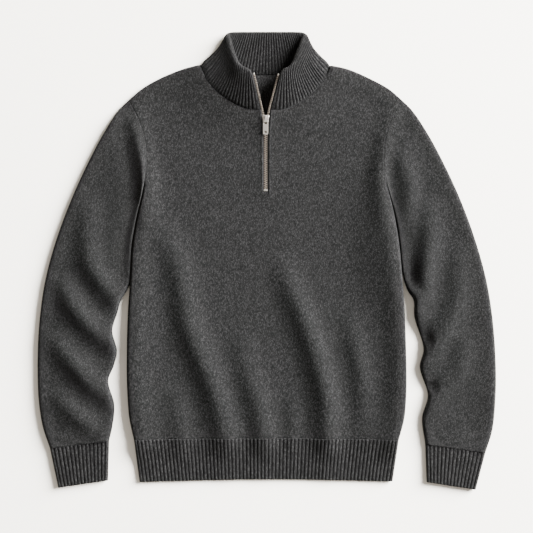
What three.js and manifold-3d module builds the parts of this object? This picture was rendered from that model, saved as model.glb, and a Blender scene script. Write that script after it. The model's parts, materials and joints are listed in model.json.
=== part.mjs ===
// Quarter zip sweater in plain knit with ribbed hem, cuffs and collar, laid flat on its back.
// Millimetres. +Z is up from the surface it lies on, +Y points to the neck and +X to the wearer's left.
// The origin is on that surface, under the middle of the garment.

import * as THREE from 'three';
import { mergeVertices } from 'three/addons/utils/BufferGeometryUtils.js';
import Module from 'manifold-3d';

const wasm = await Module();
wasm.setup();

// Cloth
const KNIT = 2.6;                 // wall of the plain knit and of the hem and cuff ribs
const COLLAR_KNIT = 4.8;          // the collar is doubled
const RIB_RISE = 1.0;             // how far a rib stands out of its valley
const LAYER_GAP = 0.4;            // between the back and the front that lies on it
const SEAM_GAP = 0.3;             // between two sewn pieces
const ARMHOLE_GAP = 0.6;          // the same at the curved armhole
const BESIDE_GAP = 1.0;           // between the body's side and the sleeve that lies along it

// Folded edges: the height of the fold's middle, and how far in it rounds off
const BODY_EDGE = { middle: 4.4, reach: 8 };
const SLEEVE_EDGE = { middle: 5.0, reach: 11 };
const CUFF_EDGE = { middle: 5.0, reach: 8 };

// Heights of the top of the cloth
const FRONT_TOP = 2 * KNIT + LAYER_GAP;
const HEM_TOP = 6.4;
const CUFF_TOP = 10.0;
const SLEEVE_TOP = 10.5;          // beside the folded edges
const SLEEVE_CROWN = 1.5;         // added along the middle of the sleeve
const TUBE_EDGE = { rise: 2.0, within: 7, width: 9 };     // the sleeve stands higher near its folded edges
const NECK_LIFT = { rise: 7.5, width: 28 };
const ZIP_LIFT = { rise: 2.0, width: 16, over: 25 };      // it fades out over this length below the zip

// Ribs
const HEM_RIBS = 71;              // across the front
const CUFF_RIBS = 15;             // across the top of one cuff
const COLLAR_RIBS = 60;           // all round

// Zip
const ZIP_X = -1.4;
const ZIP_END_Y = 119.0;          // bottom of the slit
const CHAIN = {
  half: 3.0, openHalf: 1.4, halfHeight: 1.3, below: 1.9, from: 125, to: 248.4, fromCloth: 0.6,
};
const STOP_TOP = { length: 3.3, higher: 0.3 };    // higher than the chain, by this on each face
const STOP_BOTTOM = { half: 3.2, length: 3.0, higher: 0.2, lifted: 0.3 };
const TAPE = { width: 12, thickness: 0.6, under: 0.3, from: 120.5, to: 261.5 };
const SLIDER_Y = 247;
const TAB = {
  width: 9.0, length: 29.5, thickness: 1.3, hinge: 3.0, hingeHeight: 4.35, rest: 1.4,
  window: { half: 2.6, from: -0.75, to: -11.6 }, eye: { radius: 2.2, fromEnd: 4.4 },
};

const table = (columns, rows) => {
  const names = columns.split(' ');
  return rows.map((row) => Object.fromEntries(names.map((name, k) => [name, row[k]])));
};

// Outlines seen from above. The wearer's right is at -X and the wearer's left at +X.
const OUTLINE = {
  right: {
    sign: -1,
    side: table('x y', [[-232, -313], [-240, -275], [-243.5, -230], [-244.5, -190], [-243, -104],
      [-239, -40], [-235, 25], [-228.5, 66], [-222, 95], [-215.6, 123]]),
    armhole: table('x y', [[-215.6, 123], [-210.5, 150], [-209, 185], [-214, 220], [-225, 250],
      [-241, 281]]),
    shoulder: table('x y', [[-241, 281], [-219, 300], [-188, 318.2], [-147, 335.3], [-117, 343]]),
    neck: table('x y', [[-117, 343], [-112, 332], [-105, 317.5], [-95, 304], [-83, 292], [-66, 280],
      [-50, 271], [-33, 265], [-9.1, 263]]),
    sleeveOuter: table('x y', [[-241, 281], [-259, 263], [-282, 228], [-310, 176], [-342, 106], [-368, 36],
      [-387, -34], [-397, -104], [-400.5, -174], [-398.5, -244], [-391.5, -290], [-379, -328]]),
    sleeveInner: table('x y', [[-246, -55], [-255, -71], [-261, -92], [-269.5, -122], [-261.5, -158],
      [-267, -184], [-276.5, -210], [-266, -252], [-269, -288], [-275, -315]]),
    cuffEnd: table('x y', [[-364.5, -396.8], [-277, -384]]),
  },
  left: {
    sign: 1,
    side: table('x y', [[232, -313], [241, -279], [244.7, -244], [245.5, -190], [241.5, -75], [237, -17],
      [233, 25], [227.5, 64], [221, 95], [213.5, 124]]),
    armhole: table('x y', [[213.5, 124], [206.5, 150], [204.4, 180], [208, 215], [219, 250], [236.4, 282]]),
    shoulder: table('x y', [[236.4, 282], [215, 300.3], [183, 318], [143, 335.3], [113, 342]]),
    neck: table('x y', [[113, 342], [108, 330], [101, 316], [91, 303], [79, 291.5], [65, 281],
      [49, 271.5], [32, 265], [6.3, 263]]),
    sleeveOuter: table('x y', [[236.4, 282], [254.5, 264], [278.5, 229], [307, 177], [339.5, 107],
      [365.5, 36.5], [385, -34], [396.2, -104], [401.5, -180], [401.3, -235], [395.5, -297], [383.5, -336]]),
    sleeveInner: table('x y', [[247, -52], [257.5, -69], [259, -98], [275, -155], [268.5, -186],
      [282.5, -236], [272.5, -275], [278, -321]]),
    cuffEnd: table('x y', [[366.5, -400.5], [280.4, -387]]),
  },
};
const HEM_MIDDLE_Y = { join: -311, end: -382.4 };
const HEM_CORNER = { right: { x: -222, y: -387 }, left: { x: 221, y: -386 } };
const BACK_NECK_Y = 325.5;

// Folds, which are ridges or hollows. Each has its width, from the crest to the steepest flank, and the
// places that its crest runs through: x, y and the height that it adds there.
const BODY_FOLDS = table('width crest', [
  // armholes and sides
  [15, [[-120, 328, 2], [-180, 303, 2.5], [-226, 270, 5], [-223, 205, 10], [-213, 150, 12.5],
    [-211, 112, 12.5], [-217, 62, 9.5], [-225, 10, 6.5], [-228, -60, 5], [-229, -200, 5], [-219, -311, 4]]],
  [14, [[118, 327, 2], [178, 303, 2.5], [224, 266, 4], [213, 226, 8], [203, 176, 11], [200, 140, 11],
    [204, 100, 9.5], [213, 55, 7.5], [222, 0, 6.5], [228, -80, 6], [232, -150, 6], [232, -220, 6],
    [224, -311, 4]]],
  [27, [[186, 190, 0], [187, 140, 4], [191, 85, 8], [196, 35, 9.5], [201, -15, 8], [208, -60, 4],
    [214, -115, 0]]],
  // broad rise to each side
  [42, [[-232, 60, 3], [-240, 0, 7], [-244, -104, 9], [-244, -230, 9], [-226, -330, 8]]],
  [42, [[232, 60, 3], [240, 0, 7], [243, -104, 9], [244, -230, 9], [226, -330, 8]]],
  // hanging folds, from the wearer's right to the left
  [13, [[-160, -215, 0], [-154, -265, 5], [-148, -311, 5]]],
  [17, [[-205, 95, 0], [-180, 45, 6], [-156, -5, 10], [-144, -60, 12], [-137, -110, 13.5],
    [-121, -155, 14], [-100, -205, 14], [-84, -255, 13], [-70, -311, 11]]],
  [16, [[-44, -115, 0], [-40, -150, 4], [-32, -200, 8], [-17, -245, 10], [-5, -311, 10]]],
  [9, [[45, -225, 0], [47, -265, 3], [44, -311, 3]]],
  [16, [[18, 20, 0], [32, -20, 6], [48, -62, 10], [69, -113, 12.5], [88, -175, 13.5], [103, -235, 14],
    [107, -311, 11]]],
  [14, [[145, -80, 0], [153, -130, 5.5], [164, -195, 7], [168, -240, 6], [166, -290, 2.5]]],
]);
const SLEEVE_FOLDS = {
  right: table('width crest', [
    [24, [[-262, 262, 0], [-240, 215, 5], [-225, 170, 8], [-221, 115, 9], [-227, 60, 9], [-236, 0, 7],
      [-246, -55, 3]]],
    [11, [[-256, 245, 0], [-252, 228, -3], [-244, 193, -5.5], [-236, 141, -6.5], [-235, 88, -6.5],
      [-244, 36, -6], [-249, -17, -4], [-256, -60, -1]]],
    [15, [[-314, 125, 0], [-313, 97, 4], [-312, 45, 8], [-306, -8, 12], [-290, -34, 13], [-270, -60, 10]]],
    [14, [[-362, -20, 0], [-352, -48, 8], [-338, -77, 13], [-312, -110, 13], [-275, -143, 10]]],
    [14, [[-376, -120, 0], [-366, -143, 7], [-334, -183, 13], [-305, -214, 13], [-280, -236, 9]]],
    [13, [[-380, -222, 0], [-357, -248, 6], [-326, -275, 9], [-298, -299, 5]]],
  ]),
  left: table('width crest', [
    [13, [[232, 205, 0], [238, 176, 5], [248, 140, 8], [248, 105, 8], [243, 62, 4], [241, 40, 0]]],
    [15, [[292, 115, 0], [287, 85, 6], [284, 40, 10], [280, 10, 11], [274, -40, 11], [266, -85, 7]]],
    [15, [[340, 30, 0], [334, -8, 5], [333, -60, 8], [325, -92, 10], [312, -118, 11], [295, -145, 10],
      [288, -170, 5]]],
    [14, [[352, -115, 0], [343, -157, 6], [334, -192, 7], [313, -218, 6], [294, -252, 4]]],
    [24, [[264, 235, 0], [294, 170, 5], [327, 106, 7], [353, 36, 7], [373, -34, 7], [384, -104, 6],
      [389, -180, 6], [389, -240, 5], [383, -300, 0]]],
  ]),
};

// Collar: lines that run up it, from the zip's edge round the side to the back. seam is a line's place on
// the front neck seam, from 0 at the zip to 1 at the shoulder, and on to 2 at the middle of the back. clear
// is its distance from the panel there, rx, ry, rz its end at the rim, and out and up how far it bows.
const COLLAR_LINES = {
  right: table('seam clear rx ry rz out up', [
    [0.00, 1.0, -24.0, 324.5, 33.5, 0, 2.5], [0.155, 1.0, -31.5, 329.8, 33.5, 0, 3],
    [0.29, 1.0, -41, 334, 33, -1, 3], [0.43, 1.0, -49, 342, 31.5, -2, 3],
    [0.57, 1.0, -54, 353.5, 28.5, -3, 2.5], [0.71, 1.0, -59, 369, 24, -4, 2],
    [0.84, 1.3, -63.5, 383.5, 18.5, -5, 1], [0.99, 5.0, -66.3, 391.5, 12.5, -5, 0],
    [1.13, 2.3, -62.5, 396.6, 6.8, -4, 0], [1.30, 0.9, -50, 398.2, 3.2, -2, 0],
    [1.55, 0.9, -34, 398.4, 2.4, 0, 0]]),
  left: table('seam clear rx ry rz out up', [
    [0.00, 1.0, 23.0, 323.5, 33.5, 0, 2.5], [0.155, 1.0, 30, 329.6, 33.5, 0, 3],
    [0.29, 1.0, 39, 334, 33, 1, 3], [0.43, 1.0, 46, 342.5, 31.5, 2, 3],
    [0.57, 1.0, 51.5, 355.5, 28.5, 3, 2.5], [0.71, 1.0, 57, 370, 24, 4, 2],
    [0.84, 1.3, 62.5, 384, 18.5, 5, 1], [0.99, 4.4, 66, 391.5, 12.5, 5, 0],
    [1.13, 2.3, 62, 396.6, 6.8, 4, 0], [1.30, 0.9, 50, 398.2, 3.2, 2, 0],
    [1.55, 0.9, 34, 398.4, 2.4, 0, 0]]),
};
const COLLAR_SIDE_LINE = 7;       // the line that runs up the collar's folded side
const COLLAR_SIDE_RISE = 0.7;     // there its seam lies this far above the folded edge's middle
const COLLAR_BACK = { y: 398.4, clear: 0.9, above: 0.2 };     // rim and seam in the middle of the back

// Small helpers

const mix = (a, b, k) => a + (b - a) * k;
const clamp = (v, low, high) => Math.min(Math.max(v, low), high);
const smooth = (v) => { const k = clamp(v, 0, 1); return k * k * (3 - 2 * k); };
const bell = (distance, width) => Math.exp(-0.5 * (distance / width) ** 2);
const rounded = (distance, reach) => Math.sqrt(1 - (1 - clamp(distance / reach, 0, 1)) ** 2);
const flat = (p) => new THREE.Vector3(p.x, p.y, 0);
const evenly = (from, to, count) => Array.from({ length: count + 1 }, (_, k) => mix(from, to, k / count));

function smoothCurve(points) {
  const curve = new THREE.CatmullRomCurve3(points, false, 'centripetal');
  curve.arcLengthDivisions = 400;
  return curve;
}

// Distance from a place to a line of points, and how far along the line that is, from 0 to 1.
function toLine(line, x, y) {
  let nearest = { distance: Infinity, along: 0 };
  for (let k = 0; k + 1 < line.length; k++) {
    const dx = line[k + 1].x - line[k].x;
    const dy = line[k + 1].y - line[k].y;
    const part = clamp(((x - line[k].x) * dx + (y - line[k].y) * dy) / (dx * dx + dy * dy), 0, 1);
    const distance = Math.hypot(x - line[k].x - part * dx, y - line[k].y - part * dy);
    if (distance < nearest.distance) nearest = { distance, along: (k + part) / (line.length - 1) };
  }
  return nearest;
}

const FOLD_STEPS = 24;

function foldHeights(rows) {
  const folds = rows.map(({ width, crest }) => ({
    width,
    line: smoothCurve(crest.map((place) => new THREE.Vector3(...place))).getSpacedPoints(FOLD_STEPS),
  }));
  return (x, y) => folds.reduce((sum, { width, line }) => {
    const { distance, along } = toLine(line, x, y);
    const step = Math.min(Math.floor(along * FOLD_STEPS), FOLD_STEPS - 1);
    const height = mix(line[step].z, line[step + 1].z, along * FOLD_STEPS - step);
    return sum + height * bell(distance, width);
  }, 0);
}

// Top of the front panel above the surface

const NECK_STEPS = 40;
const neckLine = smoothCurve([...OUTLINE.right.neck, ...[...OUTLINE.left.neck].reverse()].map(flat))
  .getSpacedPoints(NECK_STEPS);
const bodyFolds = foldHeights(BODY_FOLDS);

function frontTop(x, y) {
  const neck = NECK_LIFT.rise * bell(toLine(neckLine, x, y).distance, NECK_LIFT.width);
  const besideZip = smooth((y - ZIP_END_Y + ZIP_LIFT.over) / ZIP_LIFT.over);
  const zip = ZIP_LIFT.rise * bell(x - ZIP_X, ZIP_LIFT.width) * besideZip;
  return FRONT_TOP + neck + zip + bodyFolds(x, y);
}

// Meshes

// A wall of cloth: point(row, column) gives its outer and inner points, and the rims are closed.
function clothWall({ rows, columns, point, ring = false, keep = () => true }) {
  const positions = [];
  const index = [];
  for (let i = 0; i < rows; i++) {
    for (let j = 0; j < columns; j++) {
      const { outer, inner } = point(i, j);
      positions.push(...outer.toArray(), ...inner.toArray());
    }
  }
  const outerAt = (i, j) => 2 * (i * columns + (j % columns));
  const innerAt = (i, j) => outerAt(i, j) + 1;
  const quad = (a, b, c, d) => index.push(a, b, c, a, c, d);
  const cellRows = rows - 1;
  const cellColumns = ring ? columns : columns - 1;
  const kept = (i, j) => {
    const column = ring ? (j + cellColumns) % cellColumns : j;
    return i >= 0 && i < cellRows && column >= 0 && column < cellColumns && keep(i, column);
  };
  for (let i = 0; i < cellRows; i++) {
    for (let j = 0; j < cellColumns; j++) {
      if (!kept(i, j)) continue;
      const corners = [[i, j], [i, j + 1], [i + 1, j + 1], [i + 1, j]];
      const beyond = [[i - 1, j], [i, j + 1], [i + 1, j], [i, j - 1]];
      quad(...corners.map((c) => outerAt(...c)));
      quad(...corners.map((c) => innerAt(...c)).reverse());
      corners.forEach((from, side) => {
        const to = corners[(side + 1) % 4];
        if (!kept(...beyond[side])) quad(outerAt(...to), outerAt(...from), innerAt(...from), innerAt(...to));
      });
    }
  }
  return facingOut(positions, index);
}

function facingOut(positions, index) {
  const at = (k) => new THREE.Vector3().fromArray(positions, 3 * k);
  let volume = 0;
  for (let k = 0; k < index.length; k += 3) {
    volume += at(index[k]).dot(at(index[k + 1]).cross(at(index[k + 2])));
  }
  const geometry = new THREE.BufferGeometry();
  geometry.setAttribute('position', new THREE.Float32BufferAttribute(positions, 3));
  geometry.setIndex(volume < 0 ? [...index].reverse() : index);
  geometry.computeVertexNormals();
  return geometry;
}

// A flat bar along a path: its section is level across the path.
function bar(path, halfWidth, halfHeight) {
  const positions = [];
  const index = [];
  path.forEach((p, k) => {
    const along = path[Math.min(k + 1, path.length - 1)].clone().sub(path[Math.max(k - 1, 0)]).normalize();
    const across = new THREE.Vector3(along.y, -along.x, 0).normalize().multiplyScalar(halfWidth);
    const up = new THREE.Vector3().crossVectors(across, along).normalize().multiplyScalar(halfHeight);
    for (const [a, b] of [[1, 1], [-1, 1], [-1, -1], [1, -1]]) {
      positions.push(...p.clone().addScaledVector(across, a).addScaledVector(up, b).toArray());
    }
  });
  for (let k = 0; k + 1 < path.length; k++) {
    for (let c = 0; c < 4; c++) {
      const [a, b] = [4 * k + c, 4 * k + ((c + 1) % 4)];
      index.push(a, b, b + 4, a, b + 4, a + 4);
    }
  }
  const last = 4 * (path.length - 1);
  index.push(2, 1, 0, 3, 2, 0, last, last + 1, last + 2, last, last + 2, last + 3);
  return facingOut(positions, index);
}

function toManifold(geometry) {
  const bare = geometry.clone();
  bare.deleteAttribute('normal');
  bare.deleteAttribute('uv');
  const merged = mergeVertices(bare);
  return new wasm.Manifold(new wasm.Mesh({
    numProp: 3,
    vertProperties: new Float32Array(merged.attributes.position.array),
    triVerts: new Uint32Array(merged.index.array),
  }));
}

function joined(geometries) {
  const solid = geometries.map(toManifold).reduce((sum, next) => sum.add(next));
  const { vertProperties, triVerts } = solid.getMesh();
  const geometry = new THREE.BufferGeometry();
  geometry.setAttribute('position', new THREE.BufferAttribute(vertProperties, 3));
  geometry.setIndex(new THREE.BufferAttribute(triVerts, 1));
  geometry.computeVertexNormals();
  return geometry;
}

// Materials

const MATERIALS = {
  knit: { color: 0x454545, roughness: 0.95, metalness: 0 },
  rib: { color: 0x3c3c3c, roughness: 0.95, metalness: 0 },
  tape: { color: 0x242424, roughness: 0.9, metalness: 0 },
  metal: { color: 0xb9afa3, roughness: 0.35, metalness: 0.9 },
};

const sweater = new THREE.Group();

function add(name, finish, geometry, parent = sweater) {
  const mesh = new THREE.Mesh(geometry, new THREE.MeshStandardMaterial(MATERIALS[finish]));
  mesh.name = name;
  parent.add(mesh);
}

// Panels: a patch of rows and columns between four outlines. across runs from 0 at the garment's edge,
// and up from 0 at the hem to 1 at the shoulder and neck.

function patch({ bottom, top, near, far }) {
  const corner = { nb: near(0), nt: near(1), fb: far(0), ft: far(1) };
  return (across, up) => {
    const [b, t, n, f] = [bottom(across), top(across), near(up), far(up)];
    const on = (key) => mix(b[key], t[key], up) + mix(n[key], f[key], across)
      - mix(mix(corner.nb[key], corner.fb[key], across), mix(corner.nt[key], corner.ft[key], across), up);
    return { x: on('x'), y: on('y') };
  };
}

// Two curves end to end, the first one up to the share given.
const twoCurves = (first, second, share) => (k) => (
  k < share
    ? first.getPointAt(clamp(k / share, 0, 1))
    : second.getPointAt(clamp((k - share) / (1 - share), 0, 1)));

const UNDERARM_UP = 0.727;        // share of the side that is below the underarm
const NECK_ACROSS = 0.45;         // share of a front half's top that is shoulder
const PANEL_HEIGHT = 600;         // along the side, from the hem's rib to the shoulder
const HALF_WIDTH = 236;

const SLIT = table('y half', [[ZIP_END_Y, 4.9], [232, 4.9], [241, 6.9], [263, 7.7]]);
const FRONT_BOTTOM_Y = HEM_MIDDLE_Y.join;
const FRONT_NECK_Y = 263;
const upAt = (y) => (y - FRONT_BOTTOM_Y) / (FRONT_NECK_Y - FRONT_BOTTOM_Y);

function slitHalf(y) {
  const next = SLIT.findIndex((row) => row.y >= y);
  if (next === -1) return SLIT.at(-1).half;
  if (next === 0) return SLIT[0].half;
  const [a, b] = [SLIT[next - 1], SLIT[next]];
  return mix(a.half, b.half, (y - a.y) / (b.y - a.y));
}

const roundedSteps = (reach, size) => [0, 30, 60, 90].map((angle) => (
  (reach / size) * (1 - Math.cos(THREE.MathUtils.degToRad(angle)))));
const sideSteps = roundedSteps(BODY_EDGE.reach, HALF_WIDTH);
const shoulderSteps = roundedSteps(BODY_EDGE.reach, PANEL_HEIGHT).map((step) => 1 - step).reverse();

const FRONT_ACROSS = [...sideSteps, 0.085, 0.145, 0.21, 0.275, 0.34, 0.405, 0.47, 0.535, 0.6, 0.665, 0.73,
  0.8, 0.87, 0.935, 0.975, 1];
// Rows beside the armhole lie where the sleeve's seam has its points.
const BESIDE_ARMHOLE = [0.773, 0.803, 0.833, 0.863, 0.892, 0.922];
const FRONT_UP = [0, 0.045, 0.09, 0.135, 0.18, 0.225, 0.27, 0.315, 0.36, 0.405, 0.45, 0.5, 0.55, 0.6, 0.65,
  0.7, upAt(ZIP_END_Y), ...BESIDE_ARMHOLE, upAt(232), upAt(241), ...shoulderSteps];

const sideLine = (o) => (
  twoCurves(smoothCurve(o.side.map(flat)), smoothCurve(o.armhole.map(flat)), UNDERARM_UP));

function frontHalf(name) {
  const o = OUTLINE[name];
  const near = sideLine(o);
  const top = twoCurves(smoothCurve(o.shoulder.map(flat)), smoothCurve(o.neck.map(flat)), NECK_ACROSS);
  const far = (up) => {
    const y = mix(FRONT_BOTTOM_Y, FRONT_NECK_Y, up);
    return { x: ZIP_X + o.sign * slitHalf(y), y };
  };
  const bottom = (across) => ({
    x: mix(o.side[0].x, ZIP_X + o.sign * slitHalf(FRONT_BOTTOM_Y), across),
    y: mix(o.side[0].y, FRONT_BOTTOM_Y, 1 - (1 - across) ** 2),
  });
  return patch({ bottom, top, near, far });
}

// How far a panel has rounded up from its folded edges, 0 on the edge and 1 inside, and how much of the
// wall's inner side is set in there. At the armhole and the neck the panel is cut, not folded.
const FOLD_ENDS = { armhole: 0.025, neck: 1.5 };   // share of the side, and reaches of the folded edge

function foldedEdge(across, up, acrossReach, neckAcross) {
  const armhole = smooth((up - UNDERARM_UP) / FOLD_ENDS.armhole);
  const neck = smooth((across - neckAcross) / (FOLD_ENDS.neck * acrossReach));
  const upReach = BODY_EDGE.reach / PANEL_HEIGHT;
  const side = mix(rounded(across, acrossReach), 1, armhole);
  const shoulder = mix(rounded(1 - up, upReach), 1, neck);
  return {
    rise: side * shoulder,
    acrossIn: (1 - armhole) * (KNIT / BODY_EDGE.reach) * Math.max(acrossReach - across, 0),
    upIn: (1 - neck) * (KNIT / PANEL_HEIGHT) * (1 - clamp((1 - up) / upReach, 0, 1)),
  };
}

function frontPanel() {
  const halves = { right: frontHalf('right'), left: frontHalf('left') };
  const perHalf = FRONT_ACROSS.length;
  const slitColumn = perHalf - 1;
  const slitRow = FRONT_UP.indexOf(upAt(ZIP_END_Y));
  const base = BODY_EDGE.middle + SEAM_GAP / 2;
  const point = (i, j) => {
    const name = j < perHalf ? 'right' : 'left';
    const across = FRONT_ACROSS[j < perHalf ? j : 2 * perHalf - 1 - j];
    const up = FRONT_UP[i];
    const { rise, acrossIn, upIn } = foldedEdge(across, up, BODY_EDGE.reach / HALF_WIDTH, NECK_ACROSS);
    const out = halves[name](across, up);
    const inside = halves[name](across + acrossIn, up - upIn);
    return {
      outer: new THREE.Vector3(out.x, out.y, mix(base, frontTop(out.x, out.y), rise)),
      inner: new THREE.Vector3(inside.x, inside.y, mix(base, frontTop(inside.x, inside.y) - KNIT, rise)),
    };
  };
  const keep = (i, j) => !(j === slitColumn && i >= slitRow);
  return clothWall({ rows: FRONT_UP.length, columns: 2 * perHalf, point, keep });
}

const backNeck = smoothCurve([OUTLINE.right.neck[0], { x: -60, y: 331.5 }, { x: 0, y: BACK_NECK_Y },
  { x: 60, y: 331 }, OUTLINE.left.neck[0]].map(flat));

const BACK_SHOULDER = 0.27;       // share of the back's top that is one shoulder
const backSide = [...roundedSteps(BODY_EDGE.reach, 2 * HALF_WIDTH), 0.09, 0.18, BACK_SHOULDER, 0.285,
  0.33, 0.38, 0.44];
const BACK_ACROSS = [...backSide, 0.5, ...backSide.map((step) => 1 - step).reverse()];
const BACK_UP = [0, 0.15, 0.3, 0.45, 0.6, 0.7, upAt(ZIP_END_Y), ...BESIDE_ARMHOLE, 0.952, ...shoulderSteps];

function backPanel() {
  const { right, left } = OUTLINE;
  const shoulders = {
    right: smoothCurve(right.shoulder.map(flat)),
    left: smoothCurve(left.shoulder.map(flat)),
  };
  const top = (across) => {
    if (across < BACK_SHOULDER) return shoulders.right.getPointAt(across / BACK_SHOULDER);
    if (across > 1 - BACK_SHOULDER) return shoulders.left.getPointAt((1 - across) / BACK_SHOULDER);
    return backNeck.getPointAt((across - BACK_SHOULDER) / (1 - 2 * BACK_SHOULDER));
  };
  const bottom = (across) => ({
    x: mix(right.side[0].x, left.side[0].x, across),
    y: mix(right.side[0].y, FRONT_BOTTOM_Y, 1 - (2 * across - 1) ** 2),
  });
  const plan = patch({ bottom, top, near: sideLine(right), far: sideLine(left) });
  const base = BODY_EDGE.middle - SEAM_GAP / 2;
  const point = (i, j) => {
    const across = BACK_ACROSS[j];
    const fromEdge = Math.min(across, 1 - across);
    const towards = across < 0.5 ? 1 : -1;
    const { rise, acrossIn, upIn } = foldedEdge(fromEdge, BACK_UP[i], BODY_EDGE.reach / (2 * HALF_WIDTH),
      BACK_SHOULDER);
    const out = plan(across, BACK_UP[i]);
    const inside = plan(across + towards * acrossIn, BACK_UP[i] - upIn);
    return {
      outer: new THREE.Vector3(out.x, out.y, mix(base, 0, rise)),
      inner: new THREE.Vector3(inside.x, inside.y, mix(base, KNIT, rise)),
    };
  };
  return clothWall({ rows: BACK_UP.length, columns: BACK_ACROSS.length, point });
}

// Hem rib: front and back halves that meet along the folded sides

function hemLines(joinGap) {
  const [right, left] = [OUTLINE.right.side[0], OUTLINE.left.side[0]];
  const curve = (a, middleY, b, drop) => smoothCurve([a, { x: 0, y: middleY }, b]
    .map((p) => new THREE.Vector3(p.x, p.y - drop, 0)));
  return {
    join: curve(right, HEM_MIDDLE_Y.join, left, joinGap),
    end: curve(HEM_CORNER.right, HEM_MIDDLE_Y.end, HEM_CORNER.left, 0),
  };
}

function hemPlan() {
  const { join, end } = hemLines(SEAM_GAP);
  return (down, across) => {
    const [a, b] = [join.getPointAt(across), end.getPointAt(across)];
    return { x: mix(a.x, b.x, down), y: mix(a.y, b.y, down) };
  };
}

const HEM_WIDTH = 455;
const HEM_FOLDS = { lost: 0.85, by: 2 / 3 };      // share of their height lost, by this share of the rib

function hemFront() {
  const plan = hemPlan();
  const columns = 2 * HEM_RIBS + 1;
  const downSteps = [0, 0.5, 1];
  const base = BODY_EDGE.middle + SEAM_GAP / 2;
  const reach = BODY_EDGE.reach / HEM_WIDTH;
  const point = (i, j) => {
    const across = j / (columns - 1);
    const fromEdge = Math.min(across, 1 - across);
    const inward = (KNIT / HEM_WIDTH) * (1 - clamp(fromEdge / reach, 0, 1)) * (across < 0.5 ? 1 : -1);
    const rise = rounded(fromEdge, reach);
    const rib = j % 2 ? RIB_RISE * rise : 0;
    const out = plan(downSteps[i], across);
    const kept = 1 - HEM_FOLDS.lost * smooth(downSteps[i] / HEM_FOLDS.by);
    const top = HEM_TOP + kept * bodyFolds(out.x, Math.max(out.y, HEM_MIDDLE_Y.join));
    const inside = plan(downSteps[i], across + inward);
    return {
      outer: new THREE.Vector3(out.x, out.y, mix(base, top, rise) + rib),
      inner: new THREE.Vector3(inside.x, inside.y, mix(base, top - KNIT, rise)),
    };
  };
  return clothWall({ rows: downSteps.length, columns, point });
}

function hemBack() {
  const plan = hemPlan();
  const half = [...roundedSteps(BODY_EDGE.reach, HEM_WIDTH), 0.12, 0.3];
  const steps = [...half, 0.5, ...half.map((step) => 1 - step).reverse()];
  const base = BODY_EDGE.middle - SEAM_GAP / 2;
  const reach = BODY_EDGE.reach / HEM_WIDTH;
  const point = (i, j) => {
    const fromEdge = Math.min(steps[j], 1 - steps[j]);
    const inward = (KNIT / HEM_WIDTH) * (1 - clamp(fromEdge / reach, 0, 1)) * (steps[j] < 0.5 ? 1 : -1);
    const rise = rounded(fromEdge, reach);
    const out = plan(i, steps[j]);
    const inside = plan(i, steps[j] + inward);
    return {
      outer: new THREE.Vector3(out.x, out.y, mix(base, 0, rise)),
      inner: new THREE.Vector3(inside.x, inside.y, mix(base, KNIT, rise)),
    };
  };
  return clothWall({ rows: 2, columns: steps.length, point });
}

// Sleeves and cuffs: tubes that lie flat, as rings from one folded edge over the top to the other and
// back underneath. A ring's place is its distance from the outer edge and whether it is on top.

function ringPlaces(width, reach, topInside, underInside) {
  const turn = [0, 30, 60].map((angle) => reach * (1 - Math.cos(THREE.MathUtils.degToRad(angle))));
  const between = (count) => evenly(reach, width - reach, count);
  const back = turn.map((d) => width - d).reverse();
  const over = [...turn, ...between(topInside), ...back];
  const under = [...turn.slice(1), ...between(underInside), ...back.slice(0, -1)];
  return [...over.map((from) => ({ from, top: true })),
    ...under.reverse().map((from) => ({ from, top: false }))];
}

function ringPoint(place, width, edge, topHeight, rib, plan) {
  const fromEdge = Math.min(place.from, width - place.from);
  const rise = rounded(fromEdge, edge.reach);
  const inward = KNIT * (1 - clamp(fromEdge / edge.reach, 0, 1)) * (place.from < width / 2 ? 1 : -1);
  const out = plan(place.from / width);
  const inside = plan((place.from + inward) / width);
  const height = (p, wall) => mix(edge.middle, place.top ? topHeight(p) - wall : wall, rise);
  return {
    outer: new THREE.Vector3(out.x, out.y, height(out, 0) + (place.top ? rib * rise : 0)),
    inner: new THREE.Vector3(inside.x, inside.y, height(inside, KNIT)),
  };
}

const SLEEVE_OVER = 8;            // steps across the top of a sleeve between its folded edges
const SLEEVE_UNDER = 3;           // and underneath
const SLEEVE_BEND = 5;            // how fast the rings straighten out away from the armhole
const SLEEVE_RINGS = [0, 0.02, 0.045, 0.08, 0.12, 0.16, 0.2, 0.24, 0.28, 0.32, 0.36, 0.4, 0.44, 0.48, 0.52,
  0.56, 0.6, 0.64, 0.68, 0.72, 0.76, 0.8, 0.84, 0.88, 0.92, 0.96, 1];

// Shares of the sleeve over which it takes up its own height and its folds, from the armhole
const SEAM_SHARE = { height: 0.08, folds: 0.03 };

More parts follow.
